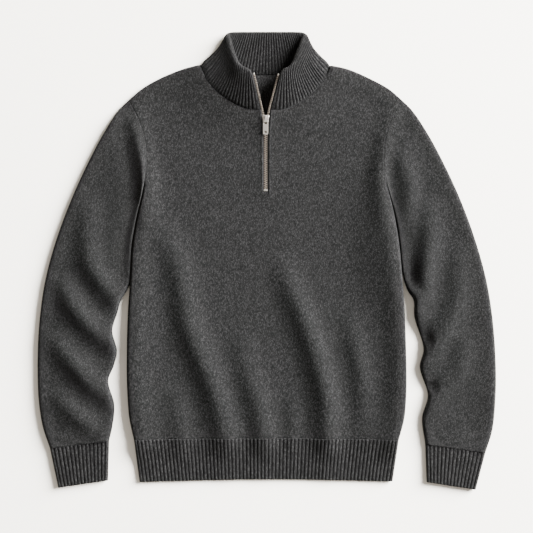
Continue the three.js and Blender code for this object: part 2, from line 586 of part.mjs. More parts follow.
function sleeve(name) {
  const o = OUTLINE[name];
  const shifted = (rows, by) => rows.map((p) => new THREE.Vector3(p.x + o.sign * by, p.y, 0));
  const besideBody = shifted([...o.side].reverse(), BESIDE_GAP).filter((p) => p.y > -45).slice(1);
  const outerStart = shifted(o.sleeveOuter.slice(0, 1), ARMHOLE_GAP);
  const innerStart = shifted(o.side.slice(-1), ARMHOLE_GAP);
  const outer = smoothCurve([...outerStart, ...o.sleeveOuter.slice(1).map(flat)]);
  const inner = smoothCurve([...innerStart, ...besideBody, ...o.sleeveInner.map(flat)]);
  const armhole = smoothCurve(shifted([...o.armhole].reverse(), ARMHOLE_GAP));
  const folds = foldHeights(SLEEVE_FOLDS[name]);
  const widthAt = (along) => outer.getPointAt(along).distanceTo(inner.getPointAt(along));
  const plan = (along) => (across) => {
    const [a, b] = [outer.getPointAt(along), inner.getPointAt(along)];
    const seam = armhole.getPointAt(clamp(across, 0, 1));
    const bend = (1 - along) ** SLEEVE_BEND;
    const [a0, b0] = [outer.getPointAt(0), inner.getPointAt(0)];
    const on = (key) => mix(a[key], b[key], across) + bend * (seam[key] - mix(a0[key], b0[key], across));
    return { x: on('x'), y: on('y') };
  };
  const rings = SLEEVE_RINGS
    .map((along) => ringPlaces(widthAt(along), SLEEVE_EDGE.reach, SLEEVE_OVER, SLEEVE_UNDER));
  const point = (i, j) => {
    const along = SLEEVE_RINGS[i];
    const width = widthAt(along);
    const place = rings[i][j];
    const crown = SLEEVE_TOP + SLEEVE_CROWN * Math.sin(Math.PI * clamp(place.from / width, 0, 1))
      + TUBE_EDGE.rise * (bell(place.from - TUBE_EDGE.within, TUBE_EDGE.width)
        + bell(width - place.from - TUBE_EDGE.within, TUBE_EDGE.width));
    const fromSeam = smooth(along / SEAM_SHARE.height);
    const top = (p) => mix(frontTop(p.x, p.y), crown, fromSeam)
      + folds(p.x, p.y) * smooth(along / SEAM_SHARE.folds);
    const edge = {
      middle: mix(BODY_EDGE.middle, SLEEVE_EDGE.middle, fromSeam),
      reach: SLEEVE_EDGE.reach,
    };
    return ringPoint(place, width, edge, top, 0, plan(along));
  };
  return clothWall({ rows: rings.length, columns: rings[0].length, point, ring: true });
}

const CUFF_UNDER = 3;             // steps underneath a cuff between its folded edges

function cuff(name) {
  const o = OUTLINE[name];
  const corners = {
    join: [o.sleeveOuter.at(-1), o.sleeveInner.at(-1)],
    end: o.cuffEnd,
  };
  const length = flat(corners.join[0]).distanceTo(flat(corners.end[0]));
  const steps = [SEAM_GAP / length, 0.5, 1];
  const over = 2 * CUFF_RIBS + 1;
  const under = (width) => ringPlaces(width, CUFF_EDGE.reach, 1, CUFF_UNDER).filter((p) => !p.top);
  const plan = (down) => (across) => {
    const on = (key) => mix(mix(corners.join[0][key], corners.join[1][key], across),
      mix(corners.end[0][key], corners.end[1][key], across), down);
    return { x: on('x'), y: on('y') };
  };
  const point = (i, j) => {
    const width = flat(plan(steps[i])(0)).distanceTo(flat(plan(steps[i])(1)));
    const place = j < over
      ? { from: (width * j) / (over - 1), top: true }
      : under(width)[j - over];
    const rib = place.top && j % 2 ? RIB_RISE : 0;
    return ringPoint(place, width, CUFF_EDGE, () => CUFF_TOP, rib, plan(steps[i]));
  };
  return clothWall({ rows: steps.length, columns: over + under(length).length, point, ring: true });
}

// Collar: a strip that runs from one side of the zip round the back to the other, ribbed on both faces

// A place beside the neck seam of one half, clear of the panel by the distance given.
function besideSeam(name, seam, clear) {
  const front = smoothCurve([...OUTLINE[name].neck].reverse().map(flat));
  const backShare = name === 'right' ? (seam - 1) / 2 : 1 - (seam - 1) / 2;
  const [curve, share] = seam <= 1 ? [front, seam] : [backNeck, backShare];
  const along = curve.getTangentAt(share);
  const away = new THREE.Vector3(-along.y, along.x, 0);
  if (away.y < 0) away.negate();
  return curve.getPointAt(share).addScaledVector(away, clear);
}

const collarHalf = (name) => COLLAR_LINES[name]
  .map((line) => ({ ...line, base: besideSeam(name, line.seam, line.clear) }));
const collarRows = [...collarHalf('right'),
  { base: besideSeam('right', 2, COLLAR_BACK.clear), rx: 0, ry: COLLAR_BACK.y, rz: COLLAR_KNIT / 2,
    out: 0, up: 0 },
  ...collarHalf('left').reverse()];

function collarBaseHeight(row, k) {
  const line = Math.min(k, collarRows.length - 1 - k);
  if (line < COLLAR_SIDE_LINE) return frontTop(row.base.x, row.base.y) - KNIT / 2;
  return line === COLLAR_SIDE_LINE
    ? BODY_EDGE.middle + COLLAR_SIDE_RISE : COLLAR_KNIT / 2 + COLLAR_BACK.above;
}

const collarCurves = {
  base: smoothCurve(collarRows.map((row, k) => (
    new THREE.Vector3(row.base.x, row.base.y, collarBaseHeight(row, k))))),
  rim: smoothCurve(collarRows.map((row) => new THREE.Vector3(row.rx, row.ry, row.rz))),
  bow: smoothCurve(collarRows.map((row) => new THREE.Vector3(-row.out, 0, row.up))),
};

// Middle of the collar's wall, around from 0 to 1 and up from 0 at the neck seam to 1 at the rim.
function collarMiddle(around, up) {
  const at = (curve) => curve.getPoint(clamp(around, 0, 1));
  return at(collarCurves.base).lerp(at(collarCurves.rim), up)
    .addScaledVector(at(collarCurves.bow), 4 * up * (1 - up));
}

const FRAME_STEP = 0.004;         // share of the collar over which its slope is measured

function collarFrame(around, up) {
  const step = FRAME_STEP;
  const along = collarMiddle(around + step, up).sub(collarMiddle(around - step, up));
  const [above, below] = [Math.min(up + step, 1), Math.max(up - step, 0)];
  const rise = collarMiddle(around, above).sub(collarMiddle(around, below));
  if (up === 0) rise.z = 0;       // the seam's face stands upright against the panels
  return { normal: new THREE.Vector3().crossVectors(rise, along).normalize(), rise: rise.normalize() };
}

// Places around the collar that are evenly spaced by a mean of its seam's and its rim's length.
const RIM_SHARE = 0.65;

function evenAround(count) {
  const samples = 400;
  const lengths = [0];
  for (let k = 1; k <= samples; k++) {
    const [a, b] = [(k - 1) / samples, k / samples];
    const base = collarMiddle(a, 0).distanceTo(collarMiddle(b, 0));
    const rim = collarMiddle(a, 1).distanceTo(collarMiddle(b, 1));
    lengths.push(lengths[k - 1] + mix(base, rim, RIM_SHARE));
  }
  return Array.from({ length: count + 1 }, (_, n) => {
    const target = (lengths[samples] * n) / count;
    const k = clamp(lengths.findIndex((length) => length >= target), 1, samples);
    return (k - 1 + (target - lengths[k - 1]) / (lengths[k] - lengths[k - 1])) / samples;
  });
}

const COLLAR_UP = [0, 0.3, 0.65, 1];
const COLLAR_RIM_TURN = 50;       // degrees that the rim rolls over
const INSIDE_RIB = 0.6;           // the ribs stand out less on the collar's inner face
const RIM_RIB = 0.5;

function collar() {
  const places = evenAround(2 * COLLAR_RIBS);
  const half = COLLAR_KNIT / 2;
  const rimTurn = THREE.MathUtils.degToRad(COLLAR_RIM_TURN);
  const point = (i, j) => {
    const capped = i === COLLAR_UP.length;
    const up = capped ? 1 : COLLAR_UP[i];
    const { normal, rise } = collarFrame(places[j], up);
    const middle = collarMiddle(places[j], up);
    if (capped) middle.addScaledVector(rise, half * Math.sin(rimTurn));
    const thick = capped ? half * Math.cos(rimTurn) : half;
    const rib = j % 2 ? RIB_RISE * (capped ? RIM_RIB : 1) : 0;
    const underneath = smooth((-normal.z - 0.5) / 0.3);     // 1 where the collar faces the surface
    const outer = middle.clone().addScaledVector(normal, thick + rib * (1 - underneath));
    outer.z = Math.max(outer.z, 0);
    return { outer, inner: middle.clone().addScaledVector(normal, -thick - rib * INSIDE_RIB) };
  };
  return clothWall({ rows: COLLAR_UP.length + 1, columns: places.length, point });
}

// Zip

const zipHeight = (y) => frontTop(ZIP_X, y) - CHAIN.below;

const CHAIN_OPENING = table('y offset', [[251.5, 2.7], [255, 4.2], [259.5, 5.2]]);

// Middle of one side of the open chain, from the slider up the slit and along the collar's edge.
function openChain(name) {
  const sign = OUTLINE[name].sign;
  const around = name === 'right' ? 0 : 1;
  const start = CHAIN_OPENING
    .map(({ y, offset }) => new THREE.Vector3(ZIP_X + sign * offset, y, zipHeight(y)));
  const edge = evenly(0.03, 0.95, 6).map((up) => collarMiddle(around, up)
    .add(new THREE.Vector3(-sign * (CHAIN.openHalf + CHAIN.fromCloth), 0, 0)));
  return smoothCurve([...start, ...edge]);
}

function tapeInner(y) {
  if (y <= CHAIN.to) return CHAIN.half + SEAM_GAP;
  const next = CHAIN_OPENING.find((row) => row.y >= y) ?? CHAIN_OPENING.at(-1);
  return Math.max(CHAIN.half, next.offset + CHAIN.openHalf) + SEAM_GAP;
}

function tape(name) {
  const sign = OUTLINE[name].sign;
  const ys = [...evenly(TAPE.from, 236, 7), 244, 251.5, 255, TAPE.to];
  const point = (i, j) => {
    const x = ZIP_X + sign * (tapeInner(ys[i]) + (j * TAPE.width) / 2);
    const z = frontTop(x, ys[i]) - KNIT - TAPE.under;
    return { outer: new THREE.Vector3(x, ys[i], z), inner: new THREE.Vector3(x, ys[i], z - TAPE.thickness) };
  };
  return clothWall({ rows: ys.length, columns: 3, point });
}

function slab(outline, z0, z1, holes = []) {
  const shape = new THREE.Shape(outline.map(([x, y]) => new THREE.Vector2(x, y)));
  shape.holes = holes;
  const solid = new THREE.ExtrudeGeometry(shape, { depth: z1 - z0, bevelEnabled: false, curveSegments: 5 });
  return solid.translate(0, 0, z0);
}

const rectangle = (x0, y0, x1, y1) => [[x0, y0], [x1, y0], [x1, y1], [x0, y1]];

// Seen from above with +Y to the open end: two plates, the post between the chain's two sides, the
// flanges that guide it, and the bail that holds the tab.
const SLIDER = {
  outline: [[-3.8, -5.8], [3.8, -5.8], [4.6, -4.4], [4.9, -1], [6.0, 3], [6.0, 5.2], [4.3, 6.6],
    [-4.3, 6.6], [-6.0, 5.2], [-6.0, 3], [-4.9, -1], [-4.6, -4.4]],
  top: [1.6, 2.8], bottom: [-3.8, -2.6], post: [[-0.6, 2], [0.6, 2], [1.1, 7], [-1.1, 7]],
  flange: { from: 0.5, outline: [[4.0, -4.8], [4.5, -4.8], [5.3, 3.2], [5.3, 5], [4.7, 5], [4.6, 3.2]] },
  bail: { half: 1.2, from: -5.0, to: 6.4, leg: 1.4, underside: 5.7, topside: 7.0 },
};
const OVERLAP = 0.2;              // by which the slider's parts run into each other

function slider() {
  const { outline, top, bottom, post, flange, bail } = SLIDER;
  const parts = [slab(outline, ...top), slab(outline, ...bottom)];
  parts.push(slab(post, bottom[0] + OVERLAP, top[1] - OVERLAP));
  for (const sign of [-1, 1]) {
    const side = flange.outline.map(([x, y]) => [sign * x, y]);
    parts.push(slab(sign > 0 ? side : side.reverse(), flange.from, top[1] - OVERLAP));
  }
  const bar = (from, to, underside) => (
    slab(rectangle(-bail.half, from, bail.half, to), underside, bail.topside));
  parts.push(bar(bail.from, bail.to, bail.underside));
  parts.push(bar(bail.from, bail.from + bail.leg, top[1] - OVERLAP));
  parts.push(bar(bail.to - bail.leg, bail.to, top[1] - OVERLAP));
  return joined(parts);
}

// The tab in its own frame: the hinge's axis is X through the origin, and the plate runs towards -Y.
function pullTab() {
  const half = TAB.width / 2;
  const end = -TAB.length;
  const outline = [[-half + 1, 0.75], [-half, -0.2], [-half, end + 1.5], [-half + 1.5, end],
    [half - 1.5, end], [half, end + 1.5], [half, -0.2], [half - 1, 0.75]];
  const { window: opening, eye: hole } = TAB;
  const window = new THREE.Path(rectangle(-opening.half, opening.to, opening.half, opening.from)
    .map(([x, y]) => new THREE.Vector2(x, y)));
  const eye = new THREE.Path().absarc(0, end + hole.fromEnd, hole.radius, 0, 2 * Math.PI);
  return slab(outline, -TAB.thickness / 2, TAB.thickness / 2, [window, eye]);
}

function zip() {
  const closedPath = evenly(CHAIN.from, CHAIN.to, 9).map((y) => new THREE.Vector3(ZIP_X, y, zipHeight(y)));
  add('zip_chain_closed', 'metal', bar(closedPath, CHAIN.half, CHAIN.halfHeight));
  for (const name of ['right', 'left']) {
    const chain = openChain(name);
    add(`zip_chain_${name}`, 'metal', bar(chain.getSpacedPoints(12), CHAIN.openHalf, CHAIN.halfHeight));
    const end = chain.getPointAt(1);
    const beyond = end.clone().sub(chain.getPointAt(0.97)).normalize();
    const stop = [SEAM_GAP, SEAM_GAP + STOP_TOP.length]
      .map((step) => end.clone().addScaledVector(beyond, step));
    add(`zip_stop_top_${name}`, 'metal', bar(stop, CHAIN.openHalf, CHAIN.halfHeight + STOP_TOP.higher));
    add(`zip_tape_${name}`, 'tape', tape(name));
  }
  const stop = [SEAM_GAP, SEAM_GAP + STOP_BOTTOM.length].map((step) => CHAIN.from - step)
    .map((y) => new THREE.Vector3(ZIP_X, y, zipHeight(y) + STOP_BOTTOM.lifted));
  add('zip_stop_bottom', 'metal', bar(stop, STOP_BOTTOM.half, CHAIN.halfHeight + STOP_BOTTOM.higher));

  const [before, after] = [-5, 5].map((step) => zipHeight(SLIDER_Y + step));
  const slope = Math.atan2(after - before, 10);
  const body = new THREE.Group();
  body.position.set(ZIP_X, SLIDER_Y, zipHeight(SLIDER_Y));
  body.rotation.x = slope;
  sweater.add(body);
  add('zip_slider', 'metal', slider(), body);

  const hinge = new THREE.Vector3(0, TAB.hinge, TAB.hingeHeight)
    .applyAxisAngle(new THREE.Vector3(1, 0, 0), slope).add(body.position);
  const tip = hinge.y - TAB.length + 1;
  const restsAt = frontTop(ZIP_X + SLIT[0].half, tip) + TAB.rest + TAB.thickness / 2;
  const tab = new THREE.Group();
  tab.position.copy(hinge);
  tab.rotation.x = Math.asin((hinge.z - restsAt) / TAB.length);
  sweater.add(tab);
  add('zip_pull_tab', 'metal', pullTab(), tab);
}

add('back', 'knit', backPanel());
add('front', 'knit', frontPanel());
add('hem_rib_back', 'rib', hemBack());
add('hem_rib_front', 'rib', hemFront());
for (const name of ['right', 'left']) {
  add(`sleeve_${name}`, 'knit', sleeve(name));
  add(`cuff_${name}`, 'rib', cuff(name));
}
add('collar', 'rib', collar());
zip();

export default sweater;
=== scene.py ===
# %% [markdown]
# # A quarter zip sweater laid flat
# The sweater is a heathered charcoal knit with a ribbed hem, cuffs and a doubled stand-up collar, and
# a metal zip that runs a quarter of the way down the front. It lies on its back on a pale surface and
# is seen from straight above.
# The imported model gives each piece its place. Its plain pieces are swapped here for finer cloth.

# %% Load the frame
import json
import math

import bpy
import numpy as np
from mathutils import Matrix, Vector

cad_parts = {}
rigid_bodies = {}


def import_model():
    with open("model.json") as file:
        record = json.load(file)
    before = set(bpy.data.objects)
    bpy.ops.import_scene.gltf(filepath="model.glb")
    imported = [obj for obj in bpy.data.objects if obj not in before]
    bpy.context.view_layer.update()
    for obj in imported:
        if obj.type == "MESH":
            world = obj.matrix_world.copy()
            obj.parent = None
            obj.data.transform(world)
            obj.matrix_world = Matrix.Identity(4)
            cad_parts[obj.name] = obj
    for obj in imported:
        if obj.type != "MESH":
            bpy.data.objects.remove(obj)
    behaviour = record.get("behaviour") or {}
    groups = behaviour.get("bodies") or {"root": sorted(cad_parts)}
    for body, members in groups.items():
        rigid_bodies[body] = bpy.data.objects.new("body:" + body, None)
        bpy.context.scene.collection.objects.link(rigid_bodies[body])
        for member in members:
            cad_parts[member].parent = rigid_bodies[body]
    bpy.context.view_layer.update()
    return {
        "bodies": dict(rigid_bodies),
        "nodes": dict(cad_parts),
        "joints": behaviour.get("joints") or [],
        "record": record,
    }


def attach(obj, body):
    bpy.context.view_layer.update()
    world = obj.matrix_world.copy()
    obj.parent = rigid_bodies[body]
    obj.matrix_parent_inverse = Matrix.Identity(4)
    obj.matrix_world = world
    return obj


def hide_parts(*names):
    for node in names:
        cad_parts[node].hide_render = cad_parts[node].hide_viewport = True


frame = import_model()
print("packed pieces:", len(frame["nodes"]))

# %% [markdown]
# Everything is laid out in millimetres, +X to the wearer's left, +Y to the neck and +Z up, with the
# surface at height 0. It is turned into metres only when a mesh is made.

# %% Small helpers
MM = 0.001


def mix(a, b, k):
    return a + (b - a) * k


def smooth(v):
    k = np.clip(v, 0, 1)
    return k * k * (3 - 2 * k)


def bell(distance, width):
    return np.exp(-0.5 * (distance / width) ** 2)


def rounded(distance, reach):
    """0 on an edge and 1 from `reach` inwards, as a quarter of a circle."""
    return np.sqrt(1 - (1 - np.clip(distance / reach, 0, 1)) ** 2)


def table(columns, rows):
    names = columns.split()
    return [dict(zip(names, row)) for row in rows]


class Curve:
    """A smooth line through points, read by the share of its length or by the number of the point."""

    def __init__(self, points, steps=40):
        p = np.array(points, float)
        ends = np.vstack([2 * p[0] - p[1], p, 2 * p[-1] - p[-2]])
        t = np.linspace(0, 1, steps, endpoint=False)[:, None]
        line = []
        for a, b, c, d in zip(ends, ends[1:], ends[2:], ends[3:]):
            da, db, dc = (np.linalg.norm(q - p) ** 0.5 for p, q in ((a, b), (b, c), (c, d)))
            db = db if db > 1e-4 else 1.0
            da, dc = (s if s > 1e-4 else db for s in (da, dc))
            start = ((b - a) / da - (c - a) / (da + db) + (c - b) / db) * db
            stop = ((c - b) / db - (d - b) / (db + dc) + (d - c) / dc) * db
            line.append(b + start * t + (3 * (c - b) - 2 * start - stop) * t ** 2
                        + (2 * (b - c) + start + stop) * t ** 3)
        self.points = np.vstack([*line, p[-1:]])
        self.number = np.arange(len(self.points)) / steps
        length = np.linalg.norm(np.diff(self.points, axis=0), axis=1)
        self.travel = np.concatenate([[0], np.cumsum(length)])
        self.length = self.travel[-1]

    def _read(self, at, where):
        at = np.asarray(at, float)
        return np.stack([np.interp(at, where, self.points[:, k]) for k in range(self.points.shape[1])], -1)

    def at(self, share):
        return self._read(np.clip(share, 0, 1) * self.length, self.travel)

    def at_number(self, number):
        return self._read(number, self.number)

    def spaced(self, count):
        return self.at(np.linspace(0, 1, count + 1))


def to_line(line, x, y):
    """Distance from places to a line of points, and how far along the line that is, 0 to 1."""
    p = np.stack([x, y], -1).reshape(-1, 1, 2)
    start, step = line[None, :-1], np.diff(line, axis=0)[None]
    part = np.clip(((p - start) * step).sum(-1) / (step ** 2).sum(-1), 0, 1)
    gap = np.linalg.norm(p - start - part[..., None] * step, axis=-1)
    k = gap.argmin(1)
    row = np.arange(len(k))
    along = (k + part[row, k]) / (len(line) - 1)
    return gap[row, k].reshape(x.shape), along.reshape(x.shape)


# %% [markdown]
# ## The cut of the pieces
# The outlines are those of the flat garment seen from above. The wearer's right is at -X. Each one is a
# smooth line through a few places, so the same lines bound the panels, the sleeves and the seams.

# %% Outlines
HEM_JOIN_Y, HEM_END_Y = -311, -382.4          # in the middle
SLIT_TOP_Y = 263                              # where the zip's slit meets the neck seam
OUTLINE = {
    "right": dict(
        sign=-1,
        side=[(-232, -313), (-240, -275), (-243.5, -230), (-244.5, -190), (-243, -104), (-239, -40),
              (-235, 25), (-228.5, 66), (-222, 95), (-215.6, 123)],
        armhole=[(-215.6, 123), (-210.5, 150), (-209, 185), (-214, 220), (-225, 250), (-241, 281)],
        shoulder=[(-241, 281), (-219, 300), (-188, 318.2), (-147, 335.3), (-117, 343)],
        neck=[(-117, 343), (-112, 332), (-105, 317.5), (-95, 304), (-83, 292), (-66, 280), (-50, 271),
              (-33, 265), (-9.1, SLIT_TOP_Y)],
        sleeve_outer=[(-241, 281), (-259, 263), (-282, 228), (-310, 176), (-342, 106), (-368, 36),
                      (-387, -34), (-397, -104), (-400.5, -174), (-398.5, -244), (-391.5, -290),
                      (-379, -328)],
        sleeve_inner=[(-246, -55), (-255, -71), (-261, -92), (-269.5, -122), (-261.5, -158), (-267, -184),
                      (-276.5, -210), (-266, -252), (-269, -288), (-275, -315)],
        cuff_end=[(-364.5, -396.8), (-277, -384)]),
    "left": dict(
        sign=1,
        side=[(232, -313), (241, -279), (244.7, -244), (245.5, -190), (241.5, -75), (237, -17), (233, 25),
              (227.5, 64), (221, 95), (213.5, 124)],
        armhole=[(213.5, 124), (206.5, 150), (204.4, 180), (208, 215), (219, 250), (236.4, 282)],
        shoulder=[(236.4, 282), (215, 300.3), (183, 318), (143, 335.3), (113, 342)],
        neck=[(113, 342), (108, 330), (101, 316), (91, 303), (79, 291.5), (65, 281), (49, 271.5), (32, 265),
              (6.3, SLIT_TOP_Y)],
        sleeve_outer=[(236.4, 282), (254.5, 264), (278.5, 229), (307, 177), (339.5, 107), (365.5, 36.5),
                      (385, -34), (396.2, -104), (401.5, -180), (401.3, -235), (395.5, -297), (383.5, -336)],
        sleeve_inner=[(247, -52), (257.5, -69), (259, -98), (275, -155), (268.5, -186), (282.5, -236),
                      (272.5, -275), (278, -321)],
        cuff_end=[(366.5, -400.5), (280.4, -387)]),
}
SIDES = ("right", "left")
HEM_CORNER = {"right": (-222, -387), "left": (221, -386)}
BACK_NECK = [(-117, 343), (-60, 331.5), (0, 325.5), (60, 331), (113, 342)]

line = {name: {part: Curve(o[part]) for part in o if part not in ("sign", "cuff_end")}
        for name, o in OUTLINE.items()}
back_neck = Curve(BACK_NECK)
for name in SIDES:
    print(name, "side and armhole", round(line[name]["side"].length), round(line[name]["armhole"].length),
          "mm, neck", round(line[name]["neck"].length), "mm")

# %% [markdown]
# ## Heights
# The cloth is two layers deep on the body. It stands higher along the armholes and the folded sides, under
# the collar and beside the zip. Soft folds run over it. A fold is a ridge along a bent line, with its
# flanks falling off like a bell, because that is how thick knit drapes: it has no sharp creases.

# %% Folds
# Each fold has its width, from the crest to the steepest flank, and the places that its crest runs through,
# with its height above the cloth at each.
BODY_FOLDS = table("name width crest", [
    ("right armhole and side", 15, [(-120, 328, 2), (-180, 303, 2.5), (-226, 270, 5), (-223, 205, 10),
                                    (-213, 150, 12.5), (-211, 112, 12.5), (-217, 62, 9.5), (-225, 10, 6.5),
                                    (-228, -60, 5), (-229, -200, 5), (-219, -311, 4)]),
    ("left armhole and side", 14, [(118, 327, 2), (178, 303, 2.5), (224, 266, 4), (213, 226, 8),
                                   (203, 176, 11), (200, 140, 11), (204, 100, 9.5), (213, 55, 7.5),
                                   (222, 0, 6.5), (228, -80, 6), (232, -150, 6), (232, -220, 6),
                                   (224, -311, 4)]),
    ("left side, broad", 27, [(186, 190, 0), (187, 140, 4), (191, 85, 8), (196, 35, 9.5), (201, -15, 8),
                              (208, -60, 4), (214, -115, 0)]),
    ("right side, broad", 42, [(-232, 60, 3), (-240, 0, 7), (-244, -104, 9), (-244, -230, 9),
                               (-226, -330, 8)]),
    ("left side, broader", 42, [(232, 60, 3), (240, 0, 7), (243, -104, 9), (244, -230, 9), (226, -330, 8)]),
    ("large, right", 17, [(-205, 95, 0), (-180, 45, 6), (-156, -5, 10), (-144, -60, 12), (-137, -110, 13.5),
                          (-121, -155, 14), (-100, -205, 14), (-84, -255, 13), (-70, -311, 11)]),
    ("middle", 16, [(-44, -115, 0), (-40, -150, 4), (-32, -200, 8), (-17, -245, 10), (-5, -311, 10)]),
    ("large, left", 16, [(18, 20, 0), (32, -20, 6), (48, -62, 10), (69, -113, 12.5), (88, -175, 13.5),
                         (103, -235, 14), (107, -311, 11)]),
    ("small, left", 14, [(145, -80, 0), (153, -130, 5.5), (164, -195, 7), (168, -240, 6), (166, -290, 2.5)]),
    ("small, right", 13, [(-160, -215, 0), (-154, -265, 5), (-148, -311, 5)]),
    ("small, middle", 9, [(45, -225, 0), (47, -265, 3), (44, -311, 3)]),
])


FOLD_STEPS = 24


def to_folds(rows):
    return [(Curve(f["crest"]).spaced(FOLD_STEPS), f["width"]) for f in rows]


def fold_heights(folds, x, y):
    total = np.zeros_like(x)
    for crest, width in folds:
        gap, along = to_line(crest[:, :2], x, y)
        total += np.interp(along, np.linspace(0, 1, len(crest)), crest[:, 2]) * bell(gap, width)
    return total


# %% Thicknesses and the height of the front
KNIT = 2.6
COLLAR_KNIT = 4.8
BODY_EDGE, BODY_REACH = 4.4, 5                # height of the folded side's middle, and how far it rounds off
FRONT_TOP = 5.6
NECK_LIFT = dict(rise=7.5, width=28)
ZIP_LIFT = dict(rise=2.0, width=16, over=25)  # over: the length that it fades in below the slit
ZIP_X, ZIP_END_Y = -1.4, 119.0
body_folds = to_folds(BODY_FOLDS)
neck_line = Curve(OUTLINE["right"]["neck"] + OUTLINE["left"]["neck"][::-1]).spaced(40)


def front_top(x, y):
    x, y = np.broadcast_arrays(np.asarray(x, float), np.asarray(y, float))
    neck = NECK_LIFT["rise"] * bell(to_line(neck_line, x, y)[0], NECK_LIFT["width"])
    begun = smooth((y - ZIP_END_Y) / ZIP_LIFT["over"] + 1)
    beside_zip = ZIP_LIFT["rise"] * bell(x - ZIP_X, ZIP_LIFT["width"]) * begun
    return FRONT_TOP + neck + beside_zip + fold_heights(body_folds, x, y)


print("front's top at the chest and on the large fold:",
      [round(float(front_top(*p)), 1) for p in ((-100, 120), (-137, -110))], "mm")

# %% [markdown]
# ## Finishes
# The yarn is spun from dark, mid and pale grey fibres, so each stitch has its own shade. Plain knit shows
# columns of small V shaped stitches. The two legs of each V are drawn from the mesh's own map, which counts
# stitches across and along, so they follow each piece: up the body, along the sleeve and round the collar.

# %% Node helpers


def put(tree, kind, values=None, **settings):
    node = tree.nodes.new(kind)
    for key, value in settings.items():
        setattr(node, key, value)
    for key, value in (values or {}).items():
        if isinstance(value, bpy.types.NodeSocket):
            tree.links.new(value, node.inputs[key])
        else:
            node.inputs[key].default_value = value
    return node


def maths(tree, operation, *values, clamp=False):
    node = put(tree, "ShaderNodeMath", dict(enumerate(values)), operation=operation, use_clamp=clamp)
    return node.outputs[0]


def ramp(tree, value, stops):
    node = put(tree, "ShaderNodeValToRGB", {0: value})
    elements = node.color_ramp.elements
    for k, (place, shade) in enumerate(stops):
        element = elements[k] if k < 2 else elements.new(place)
        element.position, element.color = place, (*shade, 1)
    return node.outputs[0]


def new_material(name):
    material = bpy.data.materials.new(name)
    material.use_nodes = True
    tree = material.node_tree
    return material, tree, tree.nodes["Principled BSDF"]


# %% Knit and rib
CHARCOAL = (1.0, 0.985, 0.985)


